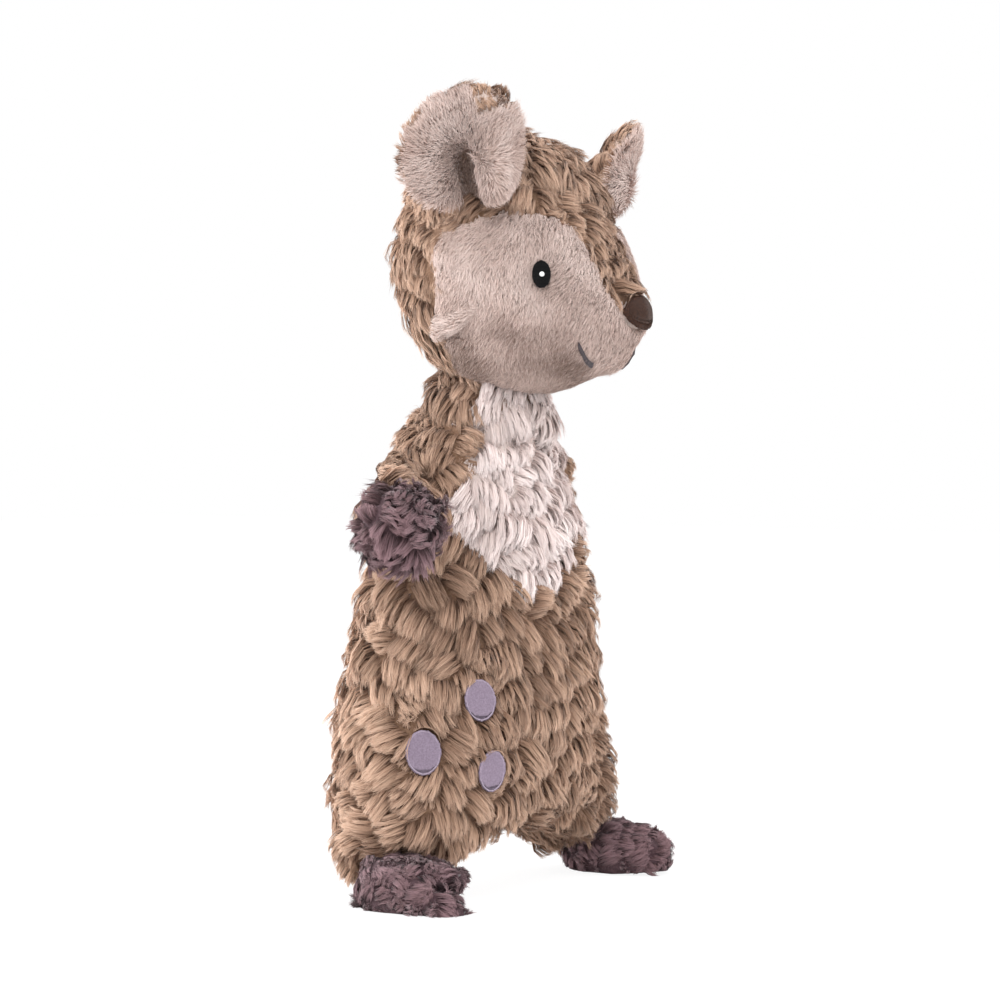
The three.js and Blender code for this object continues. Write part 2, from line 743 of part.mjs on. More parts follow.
function footForm(side, inset) {
  const rings = footSectionShares.map((shares) => sectionRing(footSection(shares, inset), limbFacets));
  const half = toeCleftWidth / 2 + inset;
  const depth = toeCleftDepth + inset;
  const left = new THREE.Vector2(-half, -overrun);
  const wedge = [new THREE.Vector2(0, depth), left, new THREE.Vector2(half, -overrun)];
  const up = new THREE.Vector3(side * Math.sin(toeCleftTilt), 0, Math.cos(toeCleftTilt));
  const right = new THREE.Vector3().crossVectors(axisY, up);
  const start = new THREE.Vector3(0, -footReach, footHeight / 2).addScaledVector(right, -footHeight);
  return solidOf(loft(rings)).subtract(prism(wedge, 2 * footHeight, frameAt(start, up, axisY)));
}

function addFoot(sideName, side) {
  const pivot = new THREE.Group();
  pivot.name = `foot_${sideName}_pivot`;
  pivot.position.set(side * footSpacing, -ankleForward, 0);
  const reach = footReach + overrun;
  const slab = (low, high) =>
    block(new THREE.Vector3(-reach, -reach, low), new THREE.Vector3(reach, reach, high));
  const form = footForm(side, 0);
  const above = slab(soleThickness + seamGap, footHeight + overrun);
  const upper = cut(form.intersect(above), footForm(side, pawThickness));
  addPiece(pivot, `foot_${sideName}_upper`, upper, 'mauve');
  addPiece(pivot, `foot_${sideName}_sole`, form.intersect(slab(0, soleThickness)), 'mauve');
  const filling = footForm(side, pawThickness + seamGap).intersect(above);
  addPiece(pivot, `foot_${sideName}_filling`, filling, 'filling');
  toy.add(pivot);
}

for (const [sideName, side] of Object.entries(sides)) {
  addEar(sideName);
  addArm(sideName, side);
  addFoot(sideName, side);
}

// The origin is under the middle of the whole toy, on the floor
toy.updateMatrixWorld(true);
const bounds = new THREE.Box3().setFromObject(toy, true);
const model = new THREE.Group();
toy.position.set(-(bounds.min.x + bounds.max.x) / 2, -(bounds.min.y + bounds.max.y) / 2, 0);
model.add(toy);

export default model;
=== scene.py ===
import json
import math

import bpy
import numpy as np
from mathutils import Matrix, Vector
from mathutils.bvhtree import BVHTree
from mathutils.kdtree import KDTree


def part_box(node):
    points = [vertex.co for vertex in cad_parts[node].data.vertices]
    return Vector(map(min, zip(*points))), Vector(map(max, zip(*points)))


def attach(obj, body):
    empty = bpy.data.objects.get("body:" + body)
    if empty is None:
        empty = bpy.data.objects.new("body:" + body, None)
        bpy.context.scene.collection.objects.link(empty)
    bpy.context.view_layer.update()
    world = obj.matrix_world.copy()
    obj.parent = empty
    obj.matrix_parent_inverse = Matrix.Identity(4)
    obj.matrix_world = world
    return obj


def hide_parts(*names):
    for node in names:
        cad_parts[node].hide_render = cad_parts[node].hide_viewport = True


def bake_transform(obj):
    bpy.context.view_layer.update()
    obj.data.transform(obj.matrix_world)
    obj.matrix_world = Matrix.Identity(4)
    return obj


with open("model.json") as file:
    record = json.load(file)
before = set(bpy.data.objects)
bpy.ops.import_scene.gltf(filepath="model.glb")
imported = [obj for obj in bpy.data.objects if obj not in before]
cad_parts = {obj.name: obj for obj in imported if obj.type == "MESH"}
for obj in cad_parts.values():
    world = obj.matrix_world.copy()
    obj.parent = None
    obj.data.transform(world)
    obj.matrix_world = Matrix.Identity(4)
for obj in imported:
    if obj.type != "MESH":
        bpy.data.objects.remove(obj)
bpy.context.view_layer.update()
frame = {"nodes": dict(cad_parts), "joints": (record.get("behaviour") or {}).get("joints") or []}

nodes = frame["nodes"]
joints = {joint["name"]: joint for joint in frame["joints"]}

# Sizes in metres, directions and groups of nodes

MM = 0.001
UP = np.array([0.0, 0.0, 1.0])
YAW = math.radians(52)
TOWARDS_CAMERA = np.array([-math.sin(YAW), -math.cos(YAW), 0.0])
SIDEWAYS = np.array([math.cos(YAW), -math.sin(YAW), 0.0])
DISTANCE = 1.2
PIXEL = 0.395 * MM
AIM_HEIGHT = 0.1765
AIM_BEHIND_ANKLES = 0.017
FLOOR_GAP = 0.0003
FACE_LIMIT = 190000
EAR_HEIGHT = 41 * MM
EAR_HALF_WIDTH = 25 * MM
BIB_POINT = 0.112
BIB_SLOPE = 1.18
BIB_LEAD = 4 * MM
SHOULDER_HEIGHT = 0.158
FOLD_START = np.array([-15.0, 37.0, -27.0]) * MM
FOLD_END = np.array([5.0, 40.0, -16.0]) * MM
NECK_RINGS = [(-12, 22), (-4, 27), (2, 26), (8, 23), (14, 20), (18, 17)]
NECK_SIDES = 36
CLEFT_TILT = math.radians(62)
SPOT_SINK = 0.3 * MM
SPOT_FLATTENING = 0.7
BIB_EDGE_TOP = 0.178
BIB_EDGE_STEP = 0.163
NAPE_HEIGHT = 0.219
EAR_ROOT_HEIGHT = 0.266
PAW_HEIGHT = 0.142
LIT_POINT = (0, 0, 0.15)
WHITE = (1.0, 1.0, 1.0, 1.0)
FLOOR_GREY = (0.92, 0.92, 0.92, 1.0)
SPOTS = ["spot_upper", "spot_outer", "spot_inner"]
BODY_PANELS = ["body_front", "bib", "body_back"]
HEAD_PANELS = ["head_crown", "cheek_right", "cheek_left", "chin_gusset"]
CHEEKS = ["cheek_right", "cheek_left"]
EYES = ["eye_right", "eye_left"]


def unit(v):
    return v / (np.linalg.norm(v, axis=-1, keepdims=True) + 1e-12)


def share(value, start, width):
    """How far a value has gone from its start, from 0 to 1 over this width."""
    return np.clip((value - start) / width, 0, 1)


def hump(value, width):
    """1 where the value is 0, and close to 0 past two widths."""
    return np.exp(-(value / width) ** 2)


def new_object(name, data):
    """A new object with this data, in the scene."""
    made = bpy.data.objects.new(name, data)
    bpy.context.scene.collection.objects.link(made)
    return made


neck = np.array(joints["head_turn"]["pos_m"])
head_right = unit(np.array(joints["head_nod"]["axis"]))
head_front = np.cross(head_right, UP)
head_low, head_high = (np.array(corner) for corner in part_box("head_filling"))
body_middle = sum(corner[0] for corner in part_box("bib")) / 2
nose_centre = np.mean(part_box("nose"), axis=0)
HUBS = {"torso": np.mean(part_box("body_filling"), axis=0), "head": (head_low + head_high) / 2}

# Camera at the photograph's angle

ankles = [np.array(joints[f"foot_{side}_turn"]["pos_m"]) for side in ("right", "left")]
axis_point = (ankles[0] + ankles[1]) / 2
axis_point = np.array([axis_point[0], axis_point[1] + AIM_BEHIND_ANKLES, AIM_HEIGHT])
camera_data = bpy.data.cameras.new("camera")
camera = new_object("camera", camera_data)
camera.location = axis_point + TOWARDS_CAMERA * DISTANCE
camera.rotation_euler = (math.radians(90), 0.0, -YAW)
camera_data.sensor_width = 36.0
camera_data.sensor_height = 36.0
camera_data.lens = camera_data.sensor_width * DISTANCE / (1000 * PIXEL)
camera_data.shift_x = 0.030
camera_data.shift_y = -0.0635
camera_data.clip_start = 0.05
camera_data.clip_end = 20.0
bpy.context.scene.camera = camera


# Materials

def linear(colour):
    """Linear light of a colour given as three values up to 255."""
    shares = [value / 255 for value in colour]
    return tuple(s / 12.92 if s <= 10 / 255 else ((s + 0.055) / 1.055) ** 2.4 for s in shares) + (1.0,)


def set_inputs(node, values):
    """Sets inputs of a node to constant values; returns the node."""
    for name, value in values.items():
        node.inputs[name].default_value = value
    return node


def add_node(tree, kind, **settings):
    """A shader node with these settings of its own, such as its operation."""
    node = tree.nodes.new("ShaderNode" + kind)
    for setting, value in settings.items():
        setattr(node, setting, value)
    return node


def connect(source, output, target, name):
    """Links an output of one node to an input of another."""
    source.id_data.links.new(source.outputs[output], target.inputs[name])


def new_material(name, roughness, specular=0.3, sheen=0.0):
    material = bpy.data.materials.new(name)
    material.use_nodes = True
    shader = material.node_tree.nodes["Principled BSDF"]
    set_inputs(shader, {"Roughness": roughness, "Specular IOR Level": specular, "Sheen Weight": sheen,
                        "Sheen Roughness": 0.5})
    return material, material.node_tree, shader


def ramp(source, output, stops):
    """A node with the colours between these stops, by an output of another node."""
    node = add_node(source.id_data, "ValToRGB")
    elements = node.color_ramp.elements
    while len(elements) < len(stops):
        elements.new(0.5)
    for element, (at, colour) in zip(elements, stops):
        element.position = at
        element.color = linear(colour)
    connect(source, output, node, "Fac")
    return node


def pile_material(name, along, tones):
    """Colour from the root to the tip of a strand, darker at the root as painted shade among the strands,
    times the tone that the strand was given.
    """
    material, tree, shader = new_material(name, 0.85, 0.15, 0.25)
    split = add_node(tree, "SeparateXYZ")
    connect(add_node(tree, "UVMap", uv_map="OFBake"), "UV", split, "Vector")
    both = set_inputs(add_node(tree, "Mix", data_type="RGBA", blend_type="MULTIPLY"), {"Factor": 1.0})
    connect(ramp(split, "Y", along), "Color", both, "A")
    connect(ramp(split, "X", tones), "Color", both, "B")
    connect(both, "Result", shader, "Base Color")
    return material


def grain_material(name, finish, scale, detail, stops, strength, depth):
    """Two tones in a fine mottle, with a little bump from the same mottle."""
    material, tree, shader = new_material(name, *finish)
    noise = set_inputs(add_node(tree, "TexNoise"), {"Scale": scale, "Detail": detail})
    bump = set_inputs(add_node(tree, "Bump"), {"Strength": strength, "Distance": depth})
    connect(add_node(tree, "TexCoord"), "Object", noise, "Vector")
    connect(ramp(noise, "Fac", stops), "Color", shader, "Base Color")
    connect(noise, "Fac", bump, "Height")
    connect(bump, "Normal", shader, "Normal")
    return material


def shaded_cloth_material(name, dark, light):
    """Knitted backing under the pile, coloured darker than the pile: painted shade deep among the strands."""
    return grain_material(name, (0.9, 0.1, 0.2), 900.0, 4.0, [(0.35, dark), (0.65, light)], 0.4, 0.0004)


def thread_material(name, dark, light, shine=0.3):
    """Embroidery thread."""
    return grain_material(name, (0.5, shine), 1500.0, 3.0, [(0.3, dark), (0.7, light)], 0.3, 0.0002)


# Tones across the strands, mostly at random. Their dark and pale ends also carry painted shade and painted
# light where a tone is lowered or raised, as marked there.
TONES = [(0.0, (178, 168, 162)), (0.5, (236, 231, 229)), (1.0, (255, 253, 252))]
BIB_TONES = [(0.0, (226, 219, 216)), (0.5, (245, 240, 239)), (1.0, (255, 254, 253))]
CREAM_TONES = [(0.0, (140, 124, 114)), (0.5, (229, 218, 213)), (1.0, (255, 252, 250))]
# Each pile runs from a darker root to a paler tip: painted shade down among the strands and in the crevices
# between locks.
PILES = {
    "fawn": ([(0.0, (118, 88, 70)), (0.35, (172, 140, 118)), (0.75, (212, 180, 157)), (1.0, (228, 199, 177))],
             TONES),
    "bib": ([(0.0, (230, 214, 209)), (0.4, (246, 234, 231)), (0.8, (252, 243, 241)), (1.0, (253, 246, 245))],
            BIB_TONES),
    "cream": ([(0.0, (196, 173, 161)), (0.5, (228, 211, 205)), (1.0, (240, 227, 222))], CREAM_TONES),
    "mauve": ([(0.0, (66, 47, 51)), (0.4, (116, 91, 96)), (0.8, (153, 124, 130)), (1.0, (176, 148, 152))],
              TONES),
}
# Cloth colours under the pile, darker than the pile itself: painted shade of the pile's depth, which also
# shows where the pile is left bare.
SHADED_CLOTHS = {
    "fawn": ((112, 84, 66), (136, 108, 88)),
    "bib": ((200, 184, 178), (216, 202, 196)),
    "cream": ((196, 176, 166), (214, 197, 189)),
    "mauve": ((66, 48, 52), (86, 66, 71)),
}
THREADS = {
    "lilac": ((131, 116, 133), (150, 135, 152)),
    "lilac_rim": ((150, 136, 152), (170, 156, 172)),
    "nose": ((36, 20, 14), (70, 44, 32), 0.2),
    "black": ((3, 3, 4), (12, 11, 13), 0.15),
    "white": ((225, 224, 224), (245, 244, 244)),
    "grey": ((54, 48, 52), (78, 70, 74)),
}
materials = {name: pile_material(f"{name}_pile", *looks) for name, looks in PILES.items()}
materials |= {f"{name}_cloth": shaded_cloth_material(f"{name}_cloth", *looks) for name, looks in SHADED_CLOTHS.items()}
materials |= {name: thread_material(f"{name}_thread", *looks) for name, looks in THREADS.items()}


# Mesh helpers

def piece_from(name, vertices, faces, material, body, uv=None):
    """A mesh object from arrays; faces is a list of (rows, corners) index arrays."""
    mesh = bpy.data.meshes.new(name)
    corners = np.concatenate([f.ravel() for f in faces]).astype(np.int32)
    totals = np.concatenate([np.full(len(f), f.shape[1]) for f in faces]).astype(np.int32)
    starts = np.concatenate([[0], np.cumsum(totals)[:-1]]).astype(np.int32)
    mesh.vertices.add(len(vertices))
    mesh.vertices.foreach_set("co", np.asarray(vertices, np.float32).ravel())
    mesh.loops.add(len(corners))
    mesh.loops.foreach_set("vertex_index", corners)
    mesh.polygons.add(len(totals))
    mesh.polygons.foreach_set("loop_start", starts)
    mesh.polygons.foreach_set("loop_total", totals)
    mesh.update(calc_edges=True)
    mesh.validate()
    if uv is not None:
        layer = mesh.uv_layers.new(name="OFBake")
        layer.data.foreach_set("uv", np.asarray(uv, np.float32).ravel())
    mesh.polygons.foreach_set("use_smooth", np.full(len(mesh.polygons), True))
    mesh.materials.append(material)
    made = new_object(name, mesh)
    if body == "neck":
        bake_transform(made)
    else:
        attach(made, body)
    return made


def arrays_of(obj):
    mesh = obj.data
    points = np.zeros(len(mesh.vertices) * 3)
    mesh.vertices.foreach_get("co", points)
    mesh.calc_loop_triangles()
    triangles = np.zeros(len(mesh.loop_triangles) * 3, int)
    mesh.loop_triangles.foreach_get("vertices", triangles)
    return points.reshape(-1, 3), triangles.reshape(-1, 3)


def normals_of(points, triangles):
    a, b, c = (points[triangles[:, k]] for k in range(3))
    flat = np.cross(b - a, c - a)
    normals = np.zeros_like(points)
    for k in range(3):
        np.add.at(normals, triangles[:, k], flat)
    return unit(normals)


def relax(values, triangles, rounds, outward=0.53):
    """Evens out the rows that belong to the corners of a surface. The step outwards keeps its volume."""
    edges = np.concatenate([triangles[:, [0, 1]], triangles[:, [1, 2]], triangles[:, [2, 0]]])
    edges = np.unique(np.sort(edges, axis=1), axis=0)
    count = np.bincount(edges.ravel(), minlength=len(values))[:, None]
    for _ in range(rounds):
        for step in (0.5, -outward) if outward else (0.5,):
            total = np.zeros_like(values)
            np.add.at(total, edges[:, 0], values[edges[:, 1]])
            np.add.at(total, edges[:, 1], values[edges[:, 0]])
            values = values + step * (total / count - values)
    return values


def remeshed(names, voxel):
    """One closed surface round these CAD nodes, as arrays."""
    vertices, triangles, base = [], [], 0
    for name in names:
        p, t = arrays_of(nodes[name])
        vertices.append(p)
        triangles.append(t + base)
        base += len(p)
    mesh = bpy.data.meshes.new("work")
    mesh.from_pydata(np.concatenate(vertices).tolist(), [], np.concatenate(triangles).tolist())
    work = new_object("work", mesh)
    modifier = work.modifiers.new("remesh", "REMESH")
    modifier.mode = "VOXEL"
    modifier.voxel_size = voxel
    graph = bpy.context.evaluated_depsgraph_get()
    made = bpy.data.meshes.new_from_object(work.evaluated_get(graph))
    work.data = made
    points, faces = arrays_of(work)
    bpy.data.objects.remove(work)
    return points, faces


def tree_of(points, triangles):
    return BVHTree.FromPolygons(points.tolist(), triangles.tolist())


node_trees = {name: tree_of(*arrays_of(obj)) for name, obj in nodes.items()}


def gaps_to(points, names):
    """Distances from each point to each of these CAD nodes."""
    return np.array([[node_trees[name].find_nearest(Vector(point))[3] for name in names] for point in points])


def nearest_node(points, names):
    """The index in names of the CAD node that lies nearest to each point."""
    return gaps_to(points, names).argmin(axis=1)


def gap_to(points, names):
    """Distance from each point to the nearest of these CAD nodes."""
    return gaps_to(points, names).min(axis=1)


def move_to(made, points):
    made.data.vertices.foreach_set("co", points.astype(np.float32).ravel())


def repaint(made, key, cloths):
    """Gives each face of a skin the cloth of its own key."""
    made.data.materials.clear()
    for cloth in cloths:
        made.data.materials.append(materials[cloth])
    made.data.polygons.foreach_set("material_index", key.astype(np.int32))


def skin(name, cad, body, colour, voxel, rounds, inset, flat_floor=False):
    """The cloth under the pile, in a darker colour that paints the shade of its depth: the hull of these CAD
    nodes, evened out and set in by so many millimetres.
    """
    points, triangles = remeshed(cad, voxel * MM)
    points = relax(points, triangles, rounds)
    moved = points - normals_of(points, triangles) * inset * MM
    if flat_floor:
        moved[:, 2] = np.where(points[:, 2] < 2.5 * MM, np.maximum(points[:, 2], FLOOR_GAP), moved[:, 2])
    made = piece_from(name, moved, [triangles], materials[colour + "_cloth"], body)
    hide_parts(*cad)
    return moved, triangles, made


def scatter(points, triangles, spacing, seed, crowd=5):
    """Places spread over a surface at least one spacing apart: position, normal."""
    rng = np.random.default_rng(seed)
    a, b, c = (points[triangles[:, k]] for k in range(3))
    flat = np.cross(b - a, c - a)
    area = np.linalg.norm(flat, axis=1) / 2
    count = int(area.sum() / spacing ** 2 * crowd)
    pick = rng.choice(len(area), count, p=area / area.sum())
    r1, r2 = np.sqrt(rng.random(count)), rng.random(count)
    parts = np.stack([1 - r1, r1 * (1 - r2), r1 * r2])[:, :, None]
    place, n = (sum(parts[k] * values[triangles[pick, k]] for k in range(3))
                for values in (points, normals_of(points, triangles)))
    n = unit(n)
    if crowd <= 1:
        return place, n
    cells, kept = {}, []
    keys = np.floor(place / spacing).astype(int)
    for i in range(count):
        x, y, z = keys[i]
        near = [j for dx in (-1, 0, 1) for dy in (-1, 0, 1) for dz in (-1, 0, 1)
                for j in cells.get((x + dx, y + dy, z + dz), ())]
        if near and np.min(np.sum((place[near] - place[i]) ** 2, axis=1)) < spacing ** 2:
            continue
        cells.setdefault((x, y, z), []).append(i)
        kept.append(i)
    return place[kept], n[kept]


def wander(place, scale, seed):
    """A smooth value from -1 to 1 that changes over about one scale."""
    rng = np.random.default_rng(seed)
    total = np.zeros(len(place))
    for _ in range(5):
        k = unit(rng.normal(size=3)) * (2 * math.pi / scale) * rng.uniform(0.6, 1.5)
        total += np.sin(place @ k + rng.uniform(0, 2 * math.pi))
    return np.clip(total / 2.6, -1, 1)


def comb(place, normal, aim, seed, swirl, scatter_angle, scale=0.045):
    """Directions in the surface: the aim laid flat, turned by a slow swirl and a turn of each tuft's own."""
    rng = np.random.default_rng(seed)
    flat = aim - np.sum(aim * normal, axis=1)[:, None] * normal
    weak = np.linalg.norm(flat, axis=1) < 0.08
    spare = np.cross(normal, rng.normal(size=(len(place), 3)))
    flat[weak] = spare[weak]
    flat = unit(flat)
    side = np.cross(normal, flat)
    angle = wander(place, scale, seed + 1) * swirl + rng.normal(size=len(place)) * scatter_angle
    return unit(flat * np.cos(angle)[:, None] + side * np.sin(angle)[:, None])


def blades(name, paths, facing, width, tone, body, colour):
    """Strands of pile as thin blades with at most FACE_LIMIT faces to a piece: paths (n, k, 3) in metres,
    each seen broad along its facing. The map holds a strand's tone across and the place along it."""
    n, k = paths.shape[0], paths.shape[1]
    parts = max(1, math.ceil(n * (2 * k - 3) / FACE_LIMIT))
    along = np.linspace(0.02, 0.98, k)
    shape = np.interp(np.linspace(0, 1, k), [0.0, 0.4, 0.8, 1.0], [0.75, 1.0, 0.9, 0.0])
    for part, rows in enumerate(np.array_split(np.arange(n), parts)):
        chosen, count = paths[rows], len(rows)
        levels = []
        for level in range(k - 1):
            before = chosen[:, max(level - 1, 0)]
            side = unit(np.cross(chosen[:, level + 1] - before, facing[rows]))
            half = side * (width[rows] * shape[level] / 2)[:, None]
            levels += [chosen[:, level] - half, chosen[:, level] + half]
        levels.append(chosen[:, -1])
        vertices = np.stack(levels, axis=1)
        per = vertices.shape[1]
        base = (np.arange(count) * per)[:, None, None]
        quads = np.array([[2 * i, 2 * i + 1, 2 * i + 3, 2 * i + 2] for i in range(k - 2)])
        quad_faces = (base + quads[None]).reshape(-1, 4)
        tip_faces = (base + np.array([[per - 3, per - 2, per - 1]])[None]).reshape(-1, 3)
        across = np.concatenate([np.tile([0.0, 0.004], k - 1), [0.002]])
        u = np.clip(tone[rows] * 0.97, 0.0, 0.99)[:, None] + across[None, :]
        v = np.broadcast_to(np.concatenate([np.repeat(along[:-1], 2), along[-1:]])[None, :], u.shape)
        uv = np.stack([u, v], axis=2).reshape(-1, 2)
        corners = np.concatenate([quad_faces.ravel(), tip_faces.ravel()])
        label = name if parts == 1 else f"{name}_{part + 1}"
        piece_from(label, vertices.reshape(-1, 3), [quad_faces, tip_faces], materials[colour], body,
                   uv[corners])


def nearest_index(places, centres):
    """The index of the nearest centre to each place."""
    tree = KDTree(len(centres))
    for i, centre in enumerate(centres.tolist()):
        tree.insert(centre, i)
    tree.balance()
    return np.array([tree.find(place)[1] for place in places.tolist()])


def overhang(surface, place, direction, reach):
    """How far, from 0 to 1, a lock of this reach would stand out past the end of its surface."""
    tree = tree_of(*surface)
    ends = place + direction * reach
    gaps = np.array([tree.find_nearest(Vector(end))[3] for end in ends])
    return np.clip(gaps / (0.6 * reach), 0, 1)


def locks_on(surface, spacing, seed, aim, swirl, stray, scale=0.045, reach=10 * MM):
    """Middles of the locks of a surface, each with its own direction, size, curl and tone."""
    place, normal = scatter(*surface, spacing * MM, seed)
    rng = np.random.default_rng(seed + 500)
    aimed = aim(place) if callable(aim) else aim
    direction = comb(place, normal, aimed, seed + 10, swirl, stray, scale)
    size = rng.uniform(0.72, 1.25, len(place)) * (1 - 0.5 * overhang(surface, place, direction, reach))
    gather = rng.uniform(-0.35, 0.35, len(place))
    curl = rng.normal(size=len(place))
    tone = 0.5 + 0.25 * wander(place, 0.06, seed + 20) + rng.normal(size=len(place)) * 0.12
    return {"place": place, "normal": normal, "direction": direction, "size": size, "cell": spacing * 0.62,
            "gather": gather, "curl": curl, "tone": np.clip(tone, 0, 1)}


def coat(pieces, surface, locks, body, key, seed, spacing, wisp, length, rise, settle, width=0.24, keep=None,
         by_lock=True, rough=1.0):
    """Pile that grows all over a surface, drawn together in wisps and the wisps in locks. Lengths are in
    millimetres. Each of the pieces (name, key, colour) takes the strands of its own key."""
    rng = np.random.default_rng(seed)
    root, _ = scatter(*surface, spacing * MM, seed, crowd=1)
    middle, middle_normal = scatter(*surface, wisp * MM, seed + 1)
    bend = np.stack([wander(middle, 0.014, seed + k) for k in (2, 3, 4)], axis=1) * 1.6 * MM
    lock = nearest_index(middle + bend, locks["place"])
    kind = key(locks["place"], locks["normal"])[lock] if by_lock else key(middle, middle_normal)

    # A wisp's place in its lock: a ahead along d and b aside along s, with n out of the surface
    d, n = locks["direction"][lock], unit(locks["normal"][lock] + 0.6 * middle_normal)
    d = unit(d - np.sum(d * n, axis=1)[:, None] * n)
    s = np.cross(n, d)
    offset = (middle - locks["place"][lock]) / MM
    a, b = np.sum(offset * d, axis=1), np.sum(offset * s, axis=1)
    ahead, aside = np.clip(a / locks["cell"], -1.3, 1.3), np.clip(b / locks["cell"], -1.3, 1.3)
    crown = np.sqrt(np.clip(1 - (0.78 * aside) ** 2, 0.08, 1))
    layer = np.clip(0.5 - 0.5 * ahead, 0, 1)
    size = locks["size"][lock]
    loose = rng.normal(size=(4, len(middle))) * rough
    forward = length * size * (0.78 + 0.22 * crown) * (1 + 0.12 * loose[0]) - 0.7 * a
    sideways = -locks["gather"][lock] * b + locks["curl"][lock] * 1.5 + loose[1] * 0.9
    top = rise * np.sqrt(size) * (0.32 + 0.68 * layer) * crown * (1 + 0.16 * loose[2])
    end = settle * np.sqrt(size) * (0.2 + 0.8 * layer) * crown * (1 + 0.3 * loose[3])

    def guide(along, across, up):
        return middle + (d * along[:, None] + s * across[:, None] + n * up[:, None]) * MM

    # Each wisp rises from the cloth, leans over and settles; its strands fray towards their tips
    none = np.zeros(len(middle))
    guides = [guide(none, none, none - 0.8), guide(forward * 0.16, sideways * 0.1, top),
              guide(forward * 0.7, sideways * 0.6, top * 1.1), guide(forward, sideways, end)]
    mine = nearest_index(root + rng.normal(size=root.shape) * 0.22 * MM, middle)
    spread = root - middle[mine]
    total = len(root)
    frayed = np.where(rng.random(total) < 0.12, 2.4, 1.0)[:, None] * rough
    control = [line[mine] + spread * part for line, part in zip(guides, (1.0, 0.9, 0.66, 0.5))]
    control[2] = control[2] + rng.normal(size=(total, 3)) * 0.18 * MM * frayed
    control[3] = (control[3] + rng.normal(size=(total, 3)) * 0.34 * MM * frayed
                  + (control[3] - control[2]) * (rng.normal(size=total) * 0.22)[:, None])
    paths = np.stack([((1 - t) ** 3) * control[0] + 3 * t * (1 - t) ** 2 * control[1]
                      + 3 * t * t * (1 - t) * control[2] + t ** 3 * control[3]
                      for t in (0.0, 0.35, 0.7, 1.0)], axis=1)
    paths[:, :, 2] = np.maximum(paths[:, :, 2], 0.4 * MM)
    shade = np.clip(locks["tone"][lock][mine] + rng.normal(size=len(middle))[mine] * 0.12
                    + rng.normal(size=total) * 0.1, 0, 1)
    facing = unit(n[mine] + s[mine] * (aside[mine] * 0.5 + rng.normal(size=total) * 0.45)[:, None])
    thick = width * rng.uniform(0.75, 1.25, total) * MM
    for name, wanted, colour in pieces:
        chosen = kind[mine] == wanted
        strands = [paths[chosen], facing[chosen], thick[chosen], shade[chosen]]
        if keep is not None:
            strands[0], good = keep(strands[0])
            strands = [values[good] for values in strands]
        order = np.argsort(strands[0][:, 0, 2])
        blades(name, *(values[order] for values in strands), body, colour)


def short_pile(name, place, normal, direction, body, seed, length, lean, width, tone, keep=None):
    """Fine even cream pile in millimetres, one strand at each place."""
    rng = np.random.default_rng(seed)
    count = len(place)
    size = rng.uniform(0.8, 1.15, count) * length * MM
    lie = lean * (1 + 0.18 * wander(place, 0.011, seed + 1)) + rng.normal(size=count) * 0.07
    lie = np.clip(lie, 0.1, 1.1)
    root = place - normal * 0.5 * MM
    middle = place + normal * (size * 0.55)[:, None] + direction * (size * lie * 0.35)[:, None]
    tip = place + normal * (size * (1.0 - 0.55 * lie))[:, None] + direction * (size * lie)[:, None]
    tip += rng.normal(size=(count, 3)) * 0.07 * size[:, None]
    paths = np.stack([root, middle, tip], axis=1)
    shade = np.clip(tone + rng.normal(size=count) * 0.12, 0, 1)
    facing = unit(normal + rng.normal(size=(count, 3)) * 0.4)
    thick = width * rng.uniform(0.8, 1.2, count) * MM
    if keep is not None:
        paths, good = keep(paths)
        paths, facing, thick, shade = paths[good], facing[good], thick[good], shade[good]
    blades(name, paths, facing, thick, shade, body, "cream")


# Stitched pieces

def stitch_frame(name):
    """Middle and outward direction of a stitched patch, its corners laid flat, and their two main axes."""
    points, _ = arrays_of(nodes[name])
    centre = points.mean(axis=0)
    _, _, axes = np.linalg.svd(points - centre)
    hub = min(HUBS.values(), key=lambda middle: np.linalg.norm(centre - middle))
    out = axes[2] * np.sign(axes[2] @ (centre - hub))
    flat = (points - centre) - np.outer((points - centre) @ out, out)
    _, _, axes = np.linalg.svd(flat, full_matrices=False)
    return centre, out, flat, axes[:2]


def away_from_patches(spreads):
    """Strands that cross a stitched patch are pushed to its edge, and those that start under it are dropped.
    Each patch is taken as wider all round by its own spread."""
    frames = []
    for name, spread in spreads.items():
        centre, out, flat, axes = stitch_frame(name)
        frames.append((centre, out, axes, np.abs(flat @ axes.T).max(axis=0) + spread))

    def part(paths):
        paths = paths.copy()
        good = np.ones(len(paths), bool)
        for centre, out, axes, half in frames:
            for k in range(paths.shape[1]):
                local = paths[:, k] - centre
                along = local @ axes.T
                distance = np.linalg.norm(along / half, axis=1) + 1e-9
                inside = (distance < 1) & (np.abs(local @ out) < 0.02)
                good &= ~(inside & (distance < (0.8 if k == 0 else 0.45)))
                if k > 0:
                    paths[inside, k] += ((1 / distance - 1)[:, None] * (along @ axes))[inside]
            for k in range(1, paths.shape[1]):
                local = (paths[:, k] + paths[:, k - 1]) / 2 - centre
                distance = np.linalg.norm(local @ axes.T / half, axis=1)
                good &= ~((distance ** 2 < 0.72) & (np.abs(local @ out) < 0.02))
        return paths, good
    return part


